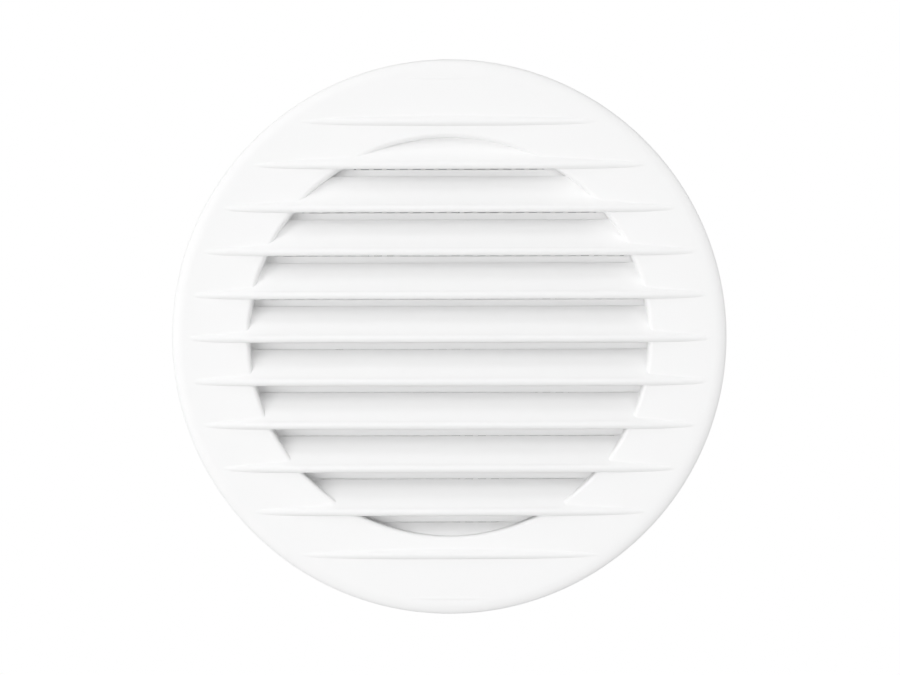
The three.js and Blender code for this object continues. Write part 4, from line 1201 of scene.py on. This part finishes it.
def shading_ring(index):
    outer, inner = SHADE_HALF_WIDTH + SHADE_BAR / 2, SHADE_HALF_WIDTH - SHADE_BAR / 2
    start, end = STACK_Y[0] - SHADE_OVERHANG, STACK_Y[1] + SHADE_OVERHANG
    radial = (SHADE_RADIAL - SHADE_BAR / 2, SHADE_RADIAL + SHADE_BAR / 2)
    loop = block(radial, (start - SHADE_BAR, end + SHADE_BAR), (-outer, outer), 0.2)
    hole = block((radial[0] - 1, radial[1] + 1), (start, end), (-inner, inner), 0)
    return about_axis(cut(loop, [hole]), 90 * index + SHADE_CENTRE)


def thermal_cutout():
    low, high = box_mm("thermal_cutout")
    outline = rounded([(*corner, 1) for corner in corners_of((low.x, high.x), (low.z, high.z))])
    return pushed(outline, low.y, high.y, 0.4)


def sleeve(node, bore, radius, roundings, sides=PIN_SIDES):
    """A ring as long as its CAD node, with a rounding for each corner from the front inner one."""
    low, high = box_mm(node)
    corners = corners_of((bore, radius), (low.y, high.y))
    return lathed([(*corner, rounding) for corner, rounding in zip(corners, roundings)], sides)


def rotor_shaft():
    low, high = box_mm("rotor_shaft")
    body = rod("y", SHAFT_R, low.y, high.y, chamfer=0.4)
    return cut(body, [rod("x", DRIVE_PIN_R + PLAY, -5, 5, (0, DRIVE_PIN_Y, 0), SCREW_SIDES)])


# The whole fan

finished(front_grille(), "front_grille", GRILLE_WHITE)
finished(guard_screen(), "guard_screen", SCREEN_WHITE)
finished(housing_tube(), "housing_tube", HOUSING_WHITE)
finished(duct_seal_ring(), "duct_seal_ring", BLACK_RUBBER)
finished(cable_grommet(), "cable_grommet", BLACK_RUBBER)

finished(motor_cradle(), "motor_cradle", MOTOR_GREY)
finished(motor_cap(), "motor_cap", MOTOR_GREY)
for index, degrees in enumerate(EAR_ANGLES):
    finished(cap_screw(degrees), f"motor_cap_screw_{index + 1}", STEEL)

finished(stator_core(), "stator_core", LAMINATION)
for index in range(POLES):
    finished(pole_coil(index), f"pole_coil_{index + 1}", COPPER)
    finished(shading_ring(index), f"shading_ring_{index + 1}", COPPER)
finished(thermal_cutout(), "thermal_cutout", TERMINAL_CREAM)
core = sleeve("rotor_core", LOOSE_BORE_R, ROTOR_R, (0.2, 0.6, 0.6, 0.2), HUB_SIDES)
finished(core, "rotor_core", ALUMINIUM)
finished(rotor_shaft(), "rotor_shaft", STEEL)
for end in ("front", "rear"):
    bearing, washer = f"{end}_bearing", f"{end}_thrust_washer"
    finished(sleeve(bearing, BEARING_BORE_R, BEARING_R, (0.15, 0.4, 0.2, 0.15)), bearing, BRASS)
    finished(sleeve(washer, LOOSE_BORE_R, BEARING_R, (0.1, 0.15, 0.15, 0.1)), washer, TERMINAL_CREAM)

finished(impeller(), "impeller", IMPELLER_GREY)
finished(impeller_nut(), "impeller_nut", MOTOR_GREY)
drive_pin = rod("x", DRIVE_PIN_R, -DRIVE_PIN_HALF, DRIVE_PIN_HALF, (0, DRIVE_PIN_Y, 0), SCREW_SIDES, 0.15)
finished(drive_pin, "drive_pin", STEEL)

finished(terminal_block(), "terminal_block", TERMINAL_CREAM)
for index, place in enumerate(TERMINAL_PLACES):
    finished(terminal_screw(*place), f"terminal_screw_{index + 1}", BRASS)
finished(terminal_cover(), "terminal_cover", MOTOR_GREY)
cover_rear_y = box_mm("terminal_cover")[1].y
finished(pan_head_screw(COVER_POST, cover_rear_y, *COVER_SCREW), "terminal_cover_screw", STEEL)
finished(cable_clamp(), "cable_clamp", TERMINAL_CREAM)
for index, place in enumerate(CLAMP_POSTS):
    finished(pan_head_screw(place, CLAMP_SCREW_Y, *CLAMP_SCREW), f"clamp_screw_{index + 1}", STEEL)
finished(motor_lead(1), "motor_lead_live", BROWN_WIRE)
finished(motor_lead(-1), "motor_lead_neutral", BLUE_WIRE)

finished(shutter_frame(), "shutter_frame", HOUSING_WHITE)
spindle = rod("z", SPINDLE_R, -SPINDLE_HALF, SPINDLE_HALF, (0, SPINDLE_Y, 0), PIN_SIDES, 0.3)
finished(spindle, "shutter_spindle", STEEL)
finished(shutter_flap(-1, LEFT_KNUCKLE_Z), "flap_left", FLAP_WHITE)
finished(shutter_flap(1, RIGHT_KNUCKLE_Z), "flap_right", FLAP_WHITE)
finished(flap_spring(-1, LEFT_SPRING_Z), "flap_spring_left", STEEL)
finished(flap_spring(1, RIGHT_SPRING_Z), "flap_spring_right", STEEL)


# Studio

CAMERA_DISTANCE = 1.4  # from the flange's face
FRAME_WIDTH = 0.2076  # what the frame takes in at the flange's face
SENSOR = 36.0
LENS_SHIFT = (0.0008, -0.0011)  # the fan stands slightly off the picture's middle
CAMERA_ROLL = math.radians(0.11)

camera_data = bpy.data.cameras.new("camera")
camera_data.sensor_width = SENSOR
camera_data.lens = SENSOR * CAMERA_DISTANCE / FRAME_WIDTH
camera_data.shift_x, camera_data.shift_y = LENS_SHIFT
camera = bpy.data.objects.new("camera", camera_data)
camera.location = (0, FACE_Y * MM - CAMERA_DISTANCE, 0)
camera.rotation_euler = (math.pi / 2, CAMERA_ROLL, 0)
bpy.context.scene.collection.objects.link(camera)
bpy.context.scene.camera = camera

WORLD_LIGHT = 0.08
LIGHT_DISTANCE = 2.6
STRIP = (0.84, 0.2)  # a low, level light that reaches in between the louvres
WIDE_BOX = (1.0, 0.67)
SOFT_BOX = (1.0, 1.0)
FLOOR_R = 1200
FLOOR_Z = (-150, -155)  # its top and its underside
FLOOR_SIDES = 96


def area_light(name, azimuth, elevation, size, energy):
    """A soft box aimed at the fan. Azimuth 0 is in front of the grille, and below 0 is to its left."""
    data = bpy.data.lights.new(name, "AREA")
    data.shape = "RECTANGLE"
    data.size, data.size_y = size
    data.energy = energy
    lamp = bpy.data.objects.new(name, data)
    turn, rise = math.radians(azimuth), math.radians(elevation)
    away = Vector((math.sin(turn) * math.cos(rise), -math.cos(turn) * math.cos(rise), math.sin(rise)))
    lamp.location = away * LIGHT_DISTANCE
    lamp.rotation_euler = away.to_track_quat("Z", "Y").to_euler()
    bpy.context.scene.collection.objects.link(lamp)


def white_studio():
    """A world that the camera sees as pure white, and that lights the fan only a little."""
    world = bpy.data.worlds.new("studio")
    world.use_nodes = True
    tree = world.node_tree
    background = tree.nodes["Background"]
    background.inputs["Color"].default_value = (1, 1, 1, 1)
    strength = tree.nodes.new("ShaderNodeMapRange")
    strength.inputs["To Min"].default_value = WORLD_LIGHT
    strength.inputs["To Max"].default_value = 1.0
    tree.links.new(tree.nodes.new("ShaderNodeLightPath").outputs["Is Camera Ray"], strength.inputs["Value"])
    tree.links.new(strength.outputs["Result"], background.inputs["Strength"])
    bpy.context.scene.world = world


white_studio()
area_light("key_strip", -50, 0, STRIP, 12)
area_light("front_strip", -25, 0, STRIP, 13)
area_light("right_strip", 25, 0, STRIP, 5)
area_light("left_box", -50, 12, WIDE_BOX, 6)
area_light("upper_left_box", -35, 30, SOFT_BOX, 7)
area_light("upper_right_box", 35, 30, SOFT_BOX, 13.5)
area_light("top_box", -35, 60, SOFT_BOX, 14)
area_light("side_box_left", -102, 4, WIDE_BOX, 8)
area_light("side_box_right", 102, 4, WIDE_BOX, 13)
area_light("rear_box", 180, 20, SOFT_BOX, 13)

turns = [math.tau * side / FLOOR_SIDES for side in range(FLOOR_SIDES)]
circle = [(FLOOR_R * math.cos(turn), FLOOR_R * math.sin(turn)) for turn in turns]
floor = lofted([(x, y, z) for z in FLOOR_Z for x, y in circle], FLOOR_SIDES)
floor.data.transform(Matrix.Scale(MM, 4))
floor.name = "floor"
floor.data.materials.append(plastic("floor_paper", (0.85, 0.85, 0.85), 0.8, 0.5, 0.01))

view = bpy.context.scene.view_settings
view.view_transform = "Standard"
view.look = "None"
view.gamma = 1.35
